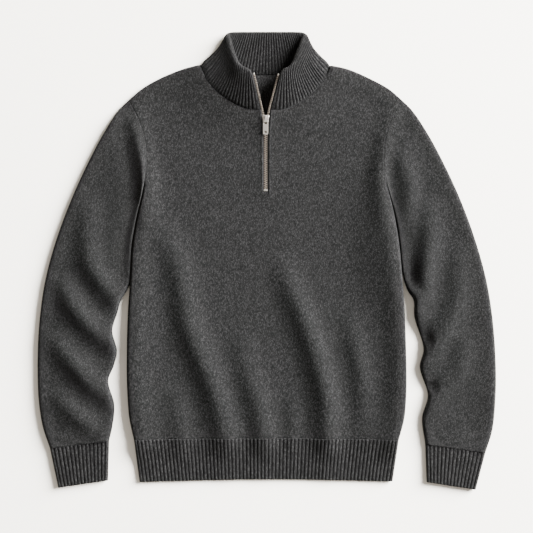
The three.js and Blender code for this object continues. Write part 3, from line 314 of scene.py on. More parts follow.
def knit_material(name, shade, contrast, depth, furrow=None):
    """shade is how light the yarn is, contrast how far its fibres differ, depth the stitches' relief in mm.
    furrow is how dark the painted shade in a rib's furrows is, with a painted highlight on its ridges and
    three columns of stitches to a rib. The hollows between the stitches are painted darker too, as painted
    shade."""
    material, tree, surface = new_material(name)
    uv = put(tree, "ShaderNodeUVMap", uv_map="Knit").outputs[0]
    parts = put(tree, "ShaderNodeSeparateXYZ", {0: uv}).outputs
    off = maths(tree, "ABSOLUTE", maths(tree, "SUBTRACT", maths(tree, "FRACT", parts[0]), 0.5))
    climb = maths(tree, "SUBTRACT", parts[1], maths(tree, "MULTIPLY", off, 2.0))
    across = maths(tree, "MULTIPLY", maths(tree, "SUBTRACT", off, 0.25), 4.0)
    leg = maths(tree, "SUBTRACT", 1.0, maths(tree, "MULTIPLY", across, across), clamp=True)
    along = maths(tree, "SUBTRACT", maths(tree, "MULTIPLY", maths(tree, "FRACT", climb), 2.0), 1.0)
    loop = maths(tree, "SUBTRACT", 1.0, maths(tree, "MULTIPLY", maths(tree, "MULTIPLY", along, along), 0.6))
    height = maths(tree, "MULTIPLY", leg, loop)

    cell = put(tree, "ShaderNodeCombineXYZ", {
        0: maths(tree, "FLOOR", maths(tree, "MULTIPLY", parts[0], 2.0)), 1: maths(tree, "FLOOR", climb)})
    yarn = put(tree, "ShaderNodeTexWhiteNoise", {0: cell.outputs[0]}, noise_dimensions="2D").outputs[0]
    place = put(tree, "ShaderNodeTexCoord").outputs["Object"]
    fibre = put(tree, "ShaderNodeTexNoise", {"Vector": place, "Scale": 900.0, "Detail": 3.0}).outputs[0]
    patchy = put(tree, "ShaderNodeTexNoise", {"Vector": place, "Scale": 700.0, "Detail": 2.0}).outputs[0]
    blend = maths(tree, "ADD", maths(tree, "MULTIPLY", yarn, 0.58), maths(tree, "MULTIPLY", fibre, 0.3))
    blend = maths(tree, "ADD", blend, maths(tree, "MULTIPLY", patchy, 0.12))
    spread = maths(tree, "ADD", maths(tree, "MULTIPLY", maths(tree, "SUBTRACT", blend, 0.5), contrast), 0.5)
    tones = [(0.0, 0.30), (0.38, 0.72), (0.62, 1.12), (0.85, 1.9), (1.0, 3.2)]
    colour = ramp(tree, spread, [(p, [shade * k * c for c in CHARCOAL]) for p, k in tones])
    # Painted shade: the yarn's colour is made darker in the hollows between the stitches' legs and loops, and
    # a little lighter on their tops.
    stitch_and_rib_painted_shade = maths(tree, "ADD", maths(tree, "MULTIPLY", height, 0.5), 0.62)
    if furrow is not None:
        # Painted shade and highlight on the ribs: the colour is darker in each furrow, by the furrow factor,
        # and up to 1.15 times lighter on each ridge.
        turn = maths(tree, "MULTIPLY", parts[0], math.pi / 3)
        ridge = maths(tree, "ABSOLUTE", maths(tree, "SINE", turn))
        rib_painted_shade_and_highlight = put(tree, "ShaderNodeMapRange", {0: ridge, 1: 0.25, 2: 0.8, 3: furrow, 4: 1.15},
                  interpolation_type="SMOOTHSTEP").outputs[0]
        stitch_and_rib_painted_shade = maths(tree, "MULTIPLY", stitch_and_rib_painted_shade, rib_painted_shade_and_highlight)
    colour_with_painted_shade = put(tree, "ShaderNodeVectorMath", {0: colour, 1: stitch_and_rib_painted_shade}, operation="MULTIPLY").outputs[0]
    fuzz = maths(tree, "ADD", height, maths(tree, "MULTIPLY", fibre, 0.5))
    bump = put(tree, "ShaderNodeBump", {"Height": fuzz, "Distance": depth * MM, "Strength": 0.7})
    tree.links.new(colour_with_painted_shade, surface.inputs["Base Color"])
    tree.links.new(bump.outputs[0], surface.inputs["Normal"])
    surface.inputs["Roughness"].default_value = 0.95
    surface.inputs["Specular IOR Level"].default_value = 0.04
    surface.inputs["Sheen Weight"].default_value = 0.03
    surface.inputs["Sheen Roughness"].default_value = 0.5
    return material


WALE, COURSE = 2.0, 1.6                       # width and height of one stitch
KNIT_CLOTH = knit_material("heathered knit", 0.0076, 1.75, 0.5)
RIB_CLOTH = knit_material("heathered rib", 0.0073, 1.7, 0.5, furrow=0.5)
# The inside of the garment is the same yarn painted lighter than the outer knit, as painted light in its
# hollows.
LIGHTENED_INSIDE_CLOTH = knit_material("heathered knit, inside, painted lighter", 0.013, 1.5, 0.4)
# The collar's inner face is the same rib painted a little darker, with darker furrows, as painted shade.
COLLAR_INSIDE_PAINTED_DARKER = knit_material("heathered rib, collar inside, painted darker", 0.0069, 1.6, 0.5, furrow=0.38)

# %% Tape and metal


def tape_material():
    material, tree, surface = new_material("woven tape")
    uv = put(tree, "ShaderNodeUVMap", uv_map="Knit").outputs[0]
    parts = put(tree, "ShaderNodeSeparateXYZ", {0: uv}).outputs
    slant = maths(tree, "FRACT", maths(tree, "ADD", parts[0], parts[1]))
    twill = maths(tree, "SUBTRACT", 1.0, maths(tree, "ABSOLUTE", maths(tree, "SUBTRACT", slant, 0.5)))
    # Painted shade: the tape's colour follows the twill's relief, darker in its grooves and lighter on its
    # ridges.
    colour = ramp(tree, twill, [(0.4, (0.008, 0.008, 0.008)), (1.0, (0.022, 0.021, 0.021))])
    bump = put(tree, "ShaderNodeBump", {"Height": twill, "Distance": 0.2 * MM, "Strength": 0.6})
    tree.links.new(colour, surface.inputs["Base Color"])
    tree.links.new(bump.outputs[0], surface.inputs["Normal"])
    surface.inputs["Roughness"].default_value = 0.85
    return material


def metal_material(name, shade, roughness, wear):
    material, tree, surface = new_material(name)
    place = put(tree, "ShaderNodeTexCoord").outputs["Object"]
    noise = put(tree, "ShaderNodeTexNoise", {"Vector": place, "Scale": wear, "Detail": 4.0}).outputs[0]
    colour = ramp(tree, noise, [(0.3, [0.72 * s for s in shade]), (0.7, shade)])
    rough = maths(tree, "ADD", maths(tree, "MULTIPLY", noise, 0.2), roughness - 0.1)
    tree.links.new(colour, surface.inputs["Base Color"])
    tree.links.new(rough, surface.inputs["Roughness"])
    surface.inputs["Metallic"].default_value = 0.85
    return material


TAPE_CLOTH = tape_material()
SLIDER_METAL = metal_material("brushed nickel", (0.36, 0.335, 0.305), 0.38, 900.0)
TEETH_METAL = metal_material("zip teeth", (0.20, 0.171, 0.143), 0.42, 2500.0)

# %% [markdown]
# ## How cloth becomes a mesh
# A piece of cloth is a grid of places on its outer face and the same grid on its inner face. The two are
# joined round every open edge by a rim that bulges out a little, as a knitted edge does.

# %% Cloth


def mesh_object(name, points, faces, uv, materials, face_material=None, rounded_off=True):
    mesh = bpy.data.meshes.new(name)
    mesh.from_pydata((points * MM).tolist(), [], faces)
    layer = mesh.uv_layers.new(name="Knit")
    corners = np.zeros(len(mesh.loops), np.int32)
    mesh.loops.foreach_get("vertex_index", corners)
    layer.data.foreach_set("uv", uv[corners].astype(np.float32).ravel())
    mesh.polygons.foreach_set("use_smooth", np.full(len(mesh.polygons), rounded_off))
    for material in materials:
        mesh.materials.append(material)
    if face_material is not None:
        mesh.polygons.foreach_set("material_index", face_material.astype(np.int32))
    mesh.update()
    obj = bpy.data.objects.new(name, mesh)
    bpy.context.scene.collection.objects.link(obj)
    return obj


def cloth(name, outer, inner, uv, ring=False, keep=None, material=KNIT_CLOTH, lining=None,
          bulge=0.35):
    """ring joins the last column to the first, keep says which cells are there, bulge is the rim's."""
    rows, columns = outer.shape[:2]
    count = rows * columns
    number = np.arange(count).reshape(rows, columns)
    if ring:
        number = np.hstack([number, number[:, :1]])
    quads = np.stack([number[:-1, :-1], number[:-1, 1:], number[1:, 1:], number[1:, :-1]], -1)
    faces = quads[keep] if keep is not None else quads.reshape(-1, 4)
    top, under = outer.reshape(-1, 3), inner.reshape(-1, 3)

    # The edges with a face on one side only are the rim.
    edges = np.concatenate([faces[:, [k, (k + 1) % 4]] for k in range(4)])
    owner = np.tile(np.arange(len(faces)), 4)
    rim = ~np.isin(edges[:, 0] * count + edges[:, 1], edges[:, 1] * count + edges[:, 0])
    edges, owner = edges[rim], owner[rim]
    away = np.zeros((count, 3))
    for side in (0, 1):
        np.add.at(away, edges[:, side], top[edges].mean(1) - top[faces[owner]].mean(1))
    on_rim = np.unique(edges)
    away = away[on_rim] / np.linalg.norm(away[on_rim], axis=1, keepdims=True)
    thick = np.linalg.norm(top[on_rim] - under[on_rim], axis=1, keepdims=True)
    middle = (top[on_rim] + under[on_rim]) / 2 + away * thick * bulge
    to_middle = np.zeros(count, int)
    to_middle[on_rim] = 2 * count + np.arange(len(on_rim))
    a, b = edges.T
    rims = np.concatenate([np.stack([b, a, to_middle[a], to_middle[b]], 1),
                           np.stack([to_middle[b], to_middle[a], a + count, b + count], 1)])
    points = np.concatenate([top, under, middle])
    all_faces = np.concatenate([faces, faces[:, ::-1] + count, rims])
    p = points[all_faces]
    volume = np.einsum("ij,ij->i", p[:, 0], np.cross(p[:, 1], p[:, 2])) + np.einsum(
        "ij,ij->i", p[:, 0], np.cross(p[:, 2], p[:, 3]))
    if volume.sum() < 0:
        all_faces = all_faces[:, ::-1]
    flat_uv = uv.reshape(-1, 2)
    uvs = np.concatenate([flat_uv, flat_uv, flat_uv[on_rim]])
    which = np.zeros(len(all_faces), int)
    if lining is not None:
        which[len(faces):2 * len(faces)] = 1
    materials = [material] + ([lining] if lining else [])
    obj = mesh_object(name, points, all_faces.tolist(), uvs, materials, which)
    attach(obj, "sweater")
    print(f"{name}: {len(all_faces) * 2} triangles")
    return obj


def plan_area(grid):
    """Area of a flat grid of places, in square metres."""
    a, b, c, d = grid[:-1, :-1], grid[:-1, 1:], grid[1:, 1:], grid[1:, :-1]
    cross = (c - a)[..., 0] * (d - b)[..., 1] - (c - a)[..., 1] * (d - b)[..., 0]
    return float(np.abs(cross).sum() / 2) * MM * MM


def with_height(plan, height):
    return np.concatenate([plan, np.broadcast_to(height, plan.shape[:2])[..., None]], -1)


# %% [markdown]
# ## Front and back
# Each panel is a patch between four outlines. `across` runs from 0 at the folded side and `up` from 0 at the
# hem rib to 1 at the shoulder. The folded side rounds off downwards and meets the back half way, and the
# edges that are sewn round off over a stitch's width, which leaves the fine groove of each seam.

# %% Patches
UNDERARM_UP = 0.727                           # share of the side that is below the underarm
PANEL_HEIGHT, HALF_WIDTH = 600, 236
SEAM_REACH, SEAM_DROP = 2.2, 0.8              # how far in a sewn edge rounds off, and how far it drops
CLOSE_ROWS = 2.8                              # the rows of the mesh are close up to this far from a sewn edge
NO_SEAM = 99                                  # farther than any seam reaches


def patch(bottom, top, near, far, across, up):
    a, u = across[..., None], up[..., None]
    corner = [[near(np.zeros(1)), far(np.zeros(1))], [near(np.ones(1)), far(np.ones(1))]]
    low, high = (mix(*pair, a) for pair in corner)
    return mix(bottom(across), top(across), u) + mix(near(up), far(up), a) - mix(low, high, u)


def two_curves(first, second, share):
    def read(k):
        return np.where((k < share)[..., None], first.at(k / share), second.at((k - share) / (1 - share)))
    return read


def from_edge(reach, size, count=7):
    return reach / size * (1 - np.cos(np.linspace(0, math.pi / 2, count)))


def side_of(name):
    return two_curves(line[name]["side"], line[name]["armhole"], UNDERARM_UP)


def up_at(y):
    return (y - HEM_JOIN_Y) / (SLIT_TOP_Y - HEM_JOIN_Y)


def folded_edge(across, up, across_reach, neck_across):
    """How far a panel has risen from its folded edges, and how far in its inner face starts."""
    armhole = smooth((up - UNDERARM_UP) / 0.025)
    neck = smooth((across - neck_across) / (1.5 * across_reach))
    up_reach = BODY_REACH / PANEL_HEIGHT
    side = mix(rounded(across, across_reach), 1, armhole)
    shoulder = mix(rounded(1 - up, up_reach), 1, neck)
    across_in = (1 - armhole) * KNIT / BODY_REACH * across_reach * (1 - np.clip(across / across_reach, 0, 1))
    up_in = (1 - neck) * KNIT / PANEL_HEIGHT * (1 - np.clip((1 - up) / up_reach, 0, 1))
    return side * shoulder, across_in, up_in


# %% Front
NECK_ACROSS = 0.45                            # share of a front half's top that is shoulder
SLIT = np.array([(-400, 4.9), (232, 4.9), (241, 6.9), (SLIT_TOP_Y, 7.7)])      # y, half width


def slit_half(y):
    return np.interp(y, SLIT[:, 0], SLIT[:, 1])


def front_half(name, across, up):
    sign = OUTLINE[name]["sign"]
    start = np.array(OUTLINE[name]["side"][0], float)

    def bottom(k):
        x = mix(start[0], ZIP_X + sign * SLIT[0, 1], k)
        return np.stack([x, mix(start[1], HEM_JOIN_Y, 1 - (1 - k) ** 2)], -1)

    def far(k):
        y = mix(HEM_JOIN_Y, SLIT_TOP_Y, k)
        return np.stack([ZIP_X + sign * slit_half(y), y], -1)

    top = two_curves(line[name]["shoulder"], line[name]["neck"], NECK_ACROSS)
    return patch(bottom, top, side_of(name), far, across, up)


half_across = np.concatenate([from_edge(BODY_REACH, HALF_WIDTH), np.linspace(0.037, 0.985, 66),
                              1 - from_edge(CLOSE_ROWS, HALF_WIDTH, 5)[::-1]])
front_up = np.unique(np.concatenate([
    from_edge(CLOSE_ROWS, PANEL_HEIGHT, 5), np.linspace(0.01, up_at(ZIP_END_Y) - 0.004, 112),
    up_at(ZIP_END_Y) + np.array([0, 0.004]), np.linspace(up_at(ZIP_END_Y) + 0.008, 0.985, 46),
    1 - from_edge(BODY_REACH, PANEL_HEIGHT)]).round(6))
below_slit = int(np.searchsorted(front_up, round(up_at(ZIP_END_Y), 6)))

A, U = np.meshgrid(half_across, front_up)
rise, across_in, up_in = folded_edge(A, U, BODY_REACH / HALF_WIDTH, NECK_ACROSS)
open_slit = (U >= up_at(ZIP_END_Y)).astype(float)
cut_gap = np.minimum.reduce([
    U * PANEL_HEIGHT, np.where(open_slit > 0, (1 - A) * HALF_WIDTH, NO_SEAM),
    np.where(A > NECK_ACROSS, (1 - U) * PANEL_HEIGHT, NO_SEAM),
    np.where(U > UNDERARM_UP, A * HALF_WIDTH, NO_SEAM)])
sewn = SEAM_DROP * (1 - rounded(cut_gap, SEAM_REACH))
ROLL = dict(rise=0.7, from_slit=1.8, width=1.2)        # the edge that is turned in beside the zip
halves = {}
for name in SIDES:
    out = front_half(name, A, U)
    inside = front_half(name, A + across_in, U - up_in)
    roll = ROLL["rise"] * bell((1 - A) * HALF_WIDTH - ROLL["from_slit"], ROLL["width"]) * open_slit
    outer = with_height(out, mix(BODY_EDGE, front_top(out[..., 0], out[..., 1]) + roll - sewn, rise))
    inner = with_height(inside, mix(BODY_EDGE, front_top(inside[..., 0], inside[..., 1]) - KNIT, rise))
    halves[name] = outer, inner
between = np.array([0.25, 0.5, 0.75])[None, :, None]


def joined(right, left):
    return np.concatenate([right, mix(right[:, -1:], left[:, -1:], between), left[:, ::-1]], 1)


outer, inner = (joined(*pair) for pair in zip(halves["right"], halves["left"]))
keep = np.ones((len(front_up) - 1, outer.shape[1] - 1), bool)
keep[below_slit:, len(half_across) - 1:len(half_across) + between.size] = False
knit_uv = outer[..., :2] / (WALE, COURSE)
front = cloth("front_cloth", outer, inner, knit_uv, keep=keep, lining=LIGHTENED_INSIDE_CLOTH)
front_area = plan_area(outer[..., :2])

# %% Back
BACK_SHOULDER = 0.27                          # share of the back's top that is one shoulder


def back_plan(across, up):
    ends = [np.array(OUTLINE[name]["side"][0], float) for name in SIDES]

    def bottom(k):
        y = mix(ends[0][1], HEM_JOIN_Y, 1 - (2 * k - 1) ** 2)
        return np.stack([mix(ends[0][0], ends[1][0], k), y], -1)

    def top(k):
        middle = back_neck.at((k - BACK_SHOULDER) / (1 - 2 * BACK_SHOULDER))
        right = line["right"]["shoulder"].at(k / BACK_SHOULDER)
        left = line["left"]["shoulder"].at((1 - k) / BACK_SHOULDER)
        inner_part = np.where((k > 1 - BACK_SHOULDER)[..., None], left, middle)
        return np.where((k < BACK_SHOULDER)[..., None], right, inner_part)

    return patch(bottom, top, side_of("right"), side_of("left"), across, up)


side_steps = np.concatenate([from_edge(BODY_REACH, 2 * HALF_WIDTH), np.linspace(0.025, 0.5, 60)])
back_across = np.unique(np.concatenate([side_steps, 1 - side_steps]).round(6))
back_up = np.unique(np.concatenate([from_edge(CLOSE_ROWS, PANEL_HEIGHT, 5), np.linspace(0.01, 0.985, 130),
                                    1 - from_edge(BODY_REACH, PANEL_HEIGHT)]).round(6))
A, U = np.meshgrid(back_across, back_up)
from_side = np.minimum(A, 1 - A)
rise, across_in, up_in = folded_edge(from_side, U, BODY_REACH / (2 * HALF_WIDTH), BACK_SHOULDER)
out = back_plan(A, U)
inside = back_plan(A + across_in * np.where(A < 0.5, 1, -1), U - up_in)
cut_gap = np.minimum.reduce([
    U * PANEL_HEIGHT, np.where(from_side > BACK_SHOULDER, (1 - U) * PANEL_HEIGHT, NO_SEAM),
    np.where(U > UNDERARM_UP, from_side * 2 * HALF_WIDTH, NO_SEAM)])
sewn = SEAM_DROP * (1 - rounded(cut_gap, SEAM_REACH))
outer = with_height(out, mix(BODY_EDGE, sewn, rise))
inner = with_height(inside, mix(BODY_EDGE, KNIT, rise))
back = cloth("back_cloth", outer, inner, outer[..., :2] / (WALE, COURSE), lining=LIGHTENED_INSIDE_CLOTH)
back_area = plan_area(outer[..., :2])
print("flat area of front and back:", round(front_area, 3), round(back_area, 3), "square metres")

# %% [markdown]
# ## Hem rib
# The welt is knitted on in ribs that run down to the hem: rounded ridges with narrow furrows between
# them. It has a front and a back half that turn into each other at the folded sides.

# %% Hem rib
HEM_WIDTH, HEM_HEIGHT, HEM_RIBS, RIB_STEPS = 455, 73, 71, 8
HEM_TOP = 6.4
HEM_FOLDS = dict(lost=0.85, by=2 / 3)         # the body's folds fade out in the hem, by this share of it
RIB_RISE = 1.5
RIB_EDGE = 3                                  # how far in the ribs' ends round off
STITCHES_PER_RIB = 3


def rib_shape(phase):
    """Height over one rib, 0 in the furrow and 1 on the ridge."""
    return np.abs(np.sin(math.pi * phase)) ** 0.75


def hem_plan(down, across):
    ends = [OUTLINE[name]["side"][0] for name in SIDES]
    join = Curve([ends[0], (0, HEM_JOIN_Y), ends[1]])
    end = Curve([HEM_CORNER["right"], (0, HEM_END_Y), HEM_CORNER["left"]])
    return mix(join.at(across), end.at(across), down[..., None])


def rib_rows(length):
    """Rows down a rib of this length, close together at both ends."""
    near = from_edge(RIB_EDGE, length, 5)
    return np.concatenate([near, np.linspace(0.07, 0.93, 16), 1 - near[::-1]])


hem_down = rib_rows(HEM_HEIGHT)
A, D = np.meshgrid(np.linspace(0, 1, HEM_RIBS * RIB_STEPS + 1), hem_down)
from_side = np.minimum(A, 1 - A)
reach = BODY_REACH / HEM_WIDTH
inward = KNIT / HEM_WIDTH * (1 - np.clip(from_side / reach, 0, 1)) * np.where(A < 0.5, 1, -1)
rise = rounded(from_side, reach)
ends = SEAM_DROP * (1 - rounded(np.minimum(D, 1 - D) * HEM_HEIGHT, RIB_EDGE))
out, inside = hem_plan(D, A), hem_plan(D, A + inward)
faded = 1 - HEM_FOLDS["lost"] * smooth(D / HEM_FOLDS["by"])
top = HEM_TOP + fold_heights(body_folds, out[..., 0], np.maximum(out[..., 1], HEM_JOIN_Y)) * faded
ribs = RIB_RISE * (rib_shape(A * HEM_RIBS) - 0.5)
rib_uv = np.stack([A * HEM_RIBS * STITCHES_PER_RIB, D * HEM_HEIGHT / COURSE], -1)
outer = with_height(out, mix(BODY_EDGE, top + ribs - ends, rise))
inner = with_height(inside, mix(BODY_EDGE, top - KNIT, rise))
hem_front = cloth("hem_rib_front_cloth", outer, inner, rib_uv, material=RIB_CLOTH)
under_ribs = RIB_RISE * (1 - rib_shape(A * HEM_RIBS))
outer = with_height(out, mix(BODY_EDGE, under_ribs + ends, rise))
inner = with_height(inside, mix(BODY_EDGE, KNIT, rise))
hem_back = cloth("hem_rib_back_cloth", outer, inner, rib_uv, material=RIB_CLOTH)
hem_area = plan_area(out)

# %% [markdown]
# ## Sleeves
# A sleeve is a tube pressed flat, so it is made of rings: over the top from the outer fold to the inner fold,
# and back underneath. It is set in at the armhole, where the rings bend to follow the seam. Near the
# elbow the cloth bunches into slanting folds that end at the inner edge.

# %% Sleeve folds
SLEEVE_EDGE, SLEEVE_REACH = 5.0, 6
SLEEVE_TOP, SLEEVE_CROWN = 10.5, 1.5
SLEEVE_FOLDS = {
    "right": table("name width crest", [
        ("rise beside the body", 24, [(-262, 262, 0), (-240, 215, 5), (-225, 170, 8), (-221, 115, 9),
                                      (-227, 60, 9), (-236, 0, 7), (-246, -55, 3)]),
        ("valley beside the body", 11, [(-256, 245, 0), (-252, 228, -3), (-244, 193, -5.5), (-236, 141, -6.5),
                                        (-235, 88, -6.5), (-244, 36, -6), (-249, -17, -4), (-256, -60, -1)]),
        ("first", 15, [(-314, 125, 0), (-313, 97, 4), (-312, 45, 8), (-306, -8, 12), (-290, -34, 13),
                       (-270, -60, 10)]),
        ("second", 14, [(-362, -20, 0), (-352, -48, 8), (-338, -77, 13), (-312, -110, 13), (-275, -143, 10)]),
        ("third", 14, [(-376, -120, 0), (-366, -143, 7), (-334, -183, 13), (-305, -214, 13),
                       (-280, -236, 9)]),
        ("fourth", 13, [(-380, -222, 0), (-357, -248, 6), (-326, -275, 9), (-298, -299, 5)]),
    ]),
    "left": table("name width crest", [
        ("upper", 13, [(232, 205, 0), (238, 176, 5), (248, 140, 8), (248, 105, 8), (243, 62, 4),
                       (241, 40, 0)]),
        ("first", 15, [(292, 115, 0), (287, 85, 6), (284, 40, 10), (280, 10, 11), (274, -40, 11),
                       (266, -85, 7)]),
        ("second", 15, [(340, 30, 0), (334, -8, 5), (333, -60, 8), (325, -92, 10), (312, -118, 11),
                        (295, -145, 10), (288, -170, 5)]),
        ("third", 14, [(352, -115, 0), (343, -157, 6), (334, -192, 7), (313, -218, 6), (294, -252, 4)]),
        ("rise at the outer edge", 24, [(264, 235, 0), (294, 170, 5), (327, 106, 7), (353, 36, 7),
                                        (373, -34, 7), (384, -104, 6), (389, -180, 6), (389, -240, 5),
                                        (383, -300, 0)]),
        ("hollow beside the body", 9, [(266, 40, -1), (257, 0, -5), (256, -30, -8), (264, -46, -4)]),
        ("hollow at the elbow", 8, [(274, -112, -1), (281, -138, -7), (294, -144, 0)]),
        ("hollow below it", 8, [(282, -208, -1), (288, -220, -6), (302, -226, 0)]),
    ]),
}
TUBE_EDGE = dict(rise=2.0, within=7, width=9)     # the folded edges of a tube stand higher than its middle
SLEEVE_LENGTH, SLEEVE_BEND = 680, 5           # bend: how soon the rings straighten below the armhole
SEAM_SHARE = dict(height=0.08, folds=0.03)    # share of the sleeve over which its height and folds come in

# %% Tubes that lie flat


def ring_places(width, reach, over, under):
    """Distance from the outer fold for each place round each ring, and which places are on top."""
    turn = reach * (1 - np.cos(np.linspace(0, math.pi / 2, 6)[:-1]))
    width = np.asarray(width, float)[:, None]

    def span(count):
        low = np.broadcast_to(turn[None], (len(width), len(turn)))
        inside = reach + (width - 2 * reach) * np.linspace(0, 1, count + 1)[None]
        return np.hstack([low, inside, width - turn[None, ::-1]])

    top, bottom = span(over), span(under)[:, 1:-1][:, ::-1]
    return np.hstack([top, bottom]), np.arange(top.shape[1] + bottom.shape[1]) < top.shape[1]


def tube(name, width, place, on_top, edge_height, reach, top_height, relief, plan, uv, material):
    width = np.asarray(width, float)[:, None]
    gap = np.minimum(place, width - place)
    rise = rounded(gap, reach)
    inward = KNIT * (1 - np.clip(gap / reach, 0, 1)) * np.where(place < width / 2, 1, -1)
    out, inside = plan(place / width), plan((place + inward) / width)
    outer = with_height(out, mix(edge_height, np.where(on_top, top_height(out) + relief, -relief), rise))
    inner = with_height(inside, mix(edge_height, np.where(on_top, top_height(inside) - KNIT, KNIT), rise))
    outer[..., 2] = np.maximum(outer[..., 2], 0)
    obj = cloth(name, outer, inner, uv, ring=True, material=material, lining=LIGHTENED_INSIDE_CLOTH)
    return obj, out[:, on_top]


# %% Sleeves
near = from_edge(CLOSE_ROWS, SLEEVE_LENGTH, 5)
sleeve_along = np.unique(np.concatenate([near, np.linspace(0.006, 0.994, 190), 1 - near]).round(6))
sleeves, sleeve_area = {}, {}
for name in SIDES:
    o = OUTLINE[name]
    beside = [(x - o["sign"] * 0.3, y) for x, y in o["side"][::-1] if y > -45][1:]
    outer_line = Curve(o["sleeve_outer"])
    inner_line = Curve(o["side"][-1:] + beside + o["sleeve_inner"])
    seam = Curve(o["armhole"][::-1])
    a, b = outer_line.at(sleeve_along), inner_line.at(sleeve_along)
    width = np.linalg.norm(a - b, axis=1)
    place, on_top = ring_places(width, SLEEVE_REACH, 64, 36)
    along = np.broadcast_to(sleeve_along[:, None], place.shape)

    def plan(across, a=a, b=b, seam=seam, along=along):
        straight = mix(a[:, None], b[:, None], across[..., None])
        start = mix(a[:1, None], b[:1, None], across[..., None])
        return straight + (1 - along[..., None]) ** SLEEVE_BEND * (seam.at(across) - start)

    def top_height(p, folds=to_folds(SLEEVE_FOLDS[name]), along=along, wide=width[:, None],
                   share=place / width[:, None]):
        x, y = p[..., 0], p[..., 1]
        crown = SLEEVE_TOP + SLEEVE_CROWN * np.sin(math.pi * np.clip(share, 0, 1))
        for gap in (share * wide, (1 - share) * wide):
            crown = crown + TUBE_EDGE["rise"] * bell(gap - TUBE_EDGE["within"], TUBE_EDGE["width"])
        own, folded = (smooth(along / SEAM_SHARE[part]) for part in ("height", "folds"))
        sewn = SEAM_DROP * (1 - rounded(np.minimum(along, 1 - along) * SLEEVE_LENGTH, SEAM_REACH))
        return mix(front_top(x, y), crown, own) + fold_heights(folds, x, y) * folded - sewn

    edge_height = mix(BODY_EDGE, SLEEVE_EDGE, smooth(along / SEAM_SHARE["height"]))
    uv = np.stack([(place - width[:, None] / 2) / WALE, along * outer_line.length / COURSE], -1)
    sleeves[name], top_plan = tube(f"sleeve_{name}_cloth", width, place, on_top, edge_height, SLEEVE_REACH,
                                   top_height, 0, plan, uv, KNIT_CLOTH)
    sleeve_area[name] = 2 * plan_area(top_plan)
print("flat area of each sleeve, all round:", {k: round(v, 3) for k, v in sleeve_area.items()})

# %% [markdown]
# ## Cuffs
# The cuffs are ribbed tubes, narrower and firmer than the sleeve, with the ribs running round both faces.

# %% Cuffs
CUFF_EDGE, CUFF_REACH, CUFF_TOP, CUFF_RIBS, CUFF_STEPS = 5.0, 5, 10.0, 15, 10
cuffs, cuff_area = {}, {}
for name in SIDES:
    o = OUTLINE[name]
    join = np.array([o["sleeve_outer"][-1], o["sleeve_inner"][-1]], float)
    end = np.array(o["cuff_end"], float)
    length = float(np.linalg.norm(join[0] - end[0]))
    down = rib_rows(length)
    corner = mix(join[None], end[None], down[:, None, None])
    width = np.linalg.norm(corner[:, 0] - corner[:, 1], axis=1)
    share = np.linspace(0, 1, CUFF_RIBS * CUFF_STEPS + 1)
    place = width[:, None] * np.concatenate([share, share[1:-1][::-1]])[None]
    on_top = np.arange(place.shape[1]) < len(share)

    def plan(across, corner=corner):
        return mix(corner[:, :1], corner[:, 1:], across[..., None])

    phase = place / width[:, None] * CUFF_RIBS
    ends = SEAM_DROP * (1 - rounded(np.minimum(down, 1 - down)[:, None] * length, RIB_EDGE))
    ribs = RIB_RISE * np.where(on_top, rib_shape(phase) - 0.5, rib_shape(phase) - 1)
    uv = np.stack(np.broadcast_arrays(phase * STITCHES_PER_RIB, down[:, None] * length / COURSE), -1)
    cuffs[name], top_plan = tube(f"cuff_{name}_cloth", width, place, on_top, CUFF_EDGE, CUFF_REACH,
                                 lambda p: CUFF_TOP, ribs - ends, plan, uv, RIB_CLOTH)
    cuff_area[name] = 2 * plan_area(top_plan)

# %% [markdown]
# ## Collar
# The collar is a strip of rib folded double, so it is thick and its rim is a soft roll. It stands up from
# the neck seam and leans outwards, open at the front where the zip's edges spread. Its lines run up from
# the seam: those beside the zip stay parallel to its edge and the others fan out.

# %% Collar lines
# seam: place on the front neck seam, 0 at the zip to 1 at the shoulder, on to 2 at the middle of the back.
# clear: distance from the panel there. rx, ry, rz: end at the rim. out, up: how far the line bows.
COLLAR_LINES = {
    "right": table("seam clear rx ry rz out up", [
        (0.00, 1.0, -24.0, 324.5, 33.5, 0, 2.5), (0.155, 1.0, -31.5, 329.8, 33.5, 0, 3),
        (0.29, 1.0, -41, 334, 33, -1, 3), (0.43, 1.0, -49, 342, 31.5, -2, 3),
        (0.57, 1.0, -54, 353.5, 28.5, -3, 2.5), (0.71, 1.0, -59, 369, 24, -4, 2),
        (0.84, 1.3, -63.5, 383.5, 18.5, -5, 1), (0.99, 5.0, -66.3, 391.5, 12.5, -5, 0),
        (1.13, 2.3, -62.5, 396.6, 6.8, -4, 0), (1.30, 0.9, -50, 398.2, 3.2, -2, 0),
        (1.55, 0.9, -34, 398.4, 2.4, 0, 0)]),
    "left": table("seam clear rx ry rz out up", [
        (0.00, 1.0, 23.0, 323.5, 33.5, 0, 2.5), (0.155, 1.0, 30, 329.6, 33.5, 0, 3),
        (0.29, 1.0, 39, 334, 33, 1, 3), (0.43, 1.0, 46, 342.5, 31.5, 2, 3),
        (0.57, 1.0, 51.5, 355.5, 28.5, 3, 2.5), (0.71, 1.0, 57, 370, 24, 4, 2),
        (0.84, 1.3, 62.5, 384, 18.5, 5, 1), (0.99, 4.4, 66, 391.5, 12.5, 5, 0),
        (1.13, 2.3, 62, 396.6, 6.8, 4, 0), (1.30, 0.9, 50, 398.2, 3.2, 2, 0),
        (1.55, 0.9, 34, 398.4, 2.4, 0, 0)]),
}
COLLAR_SIDE_LINE = 7                          # runs up the collar's folded side
COLLAR_BACK_Y = 398.4
COLLAR_HEIGHT = 75


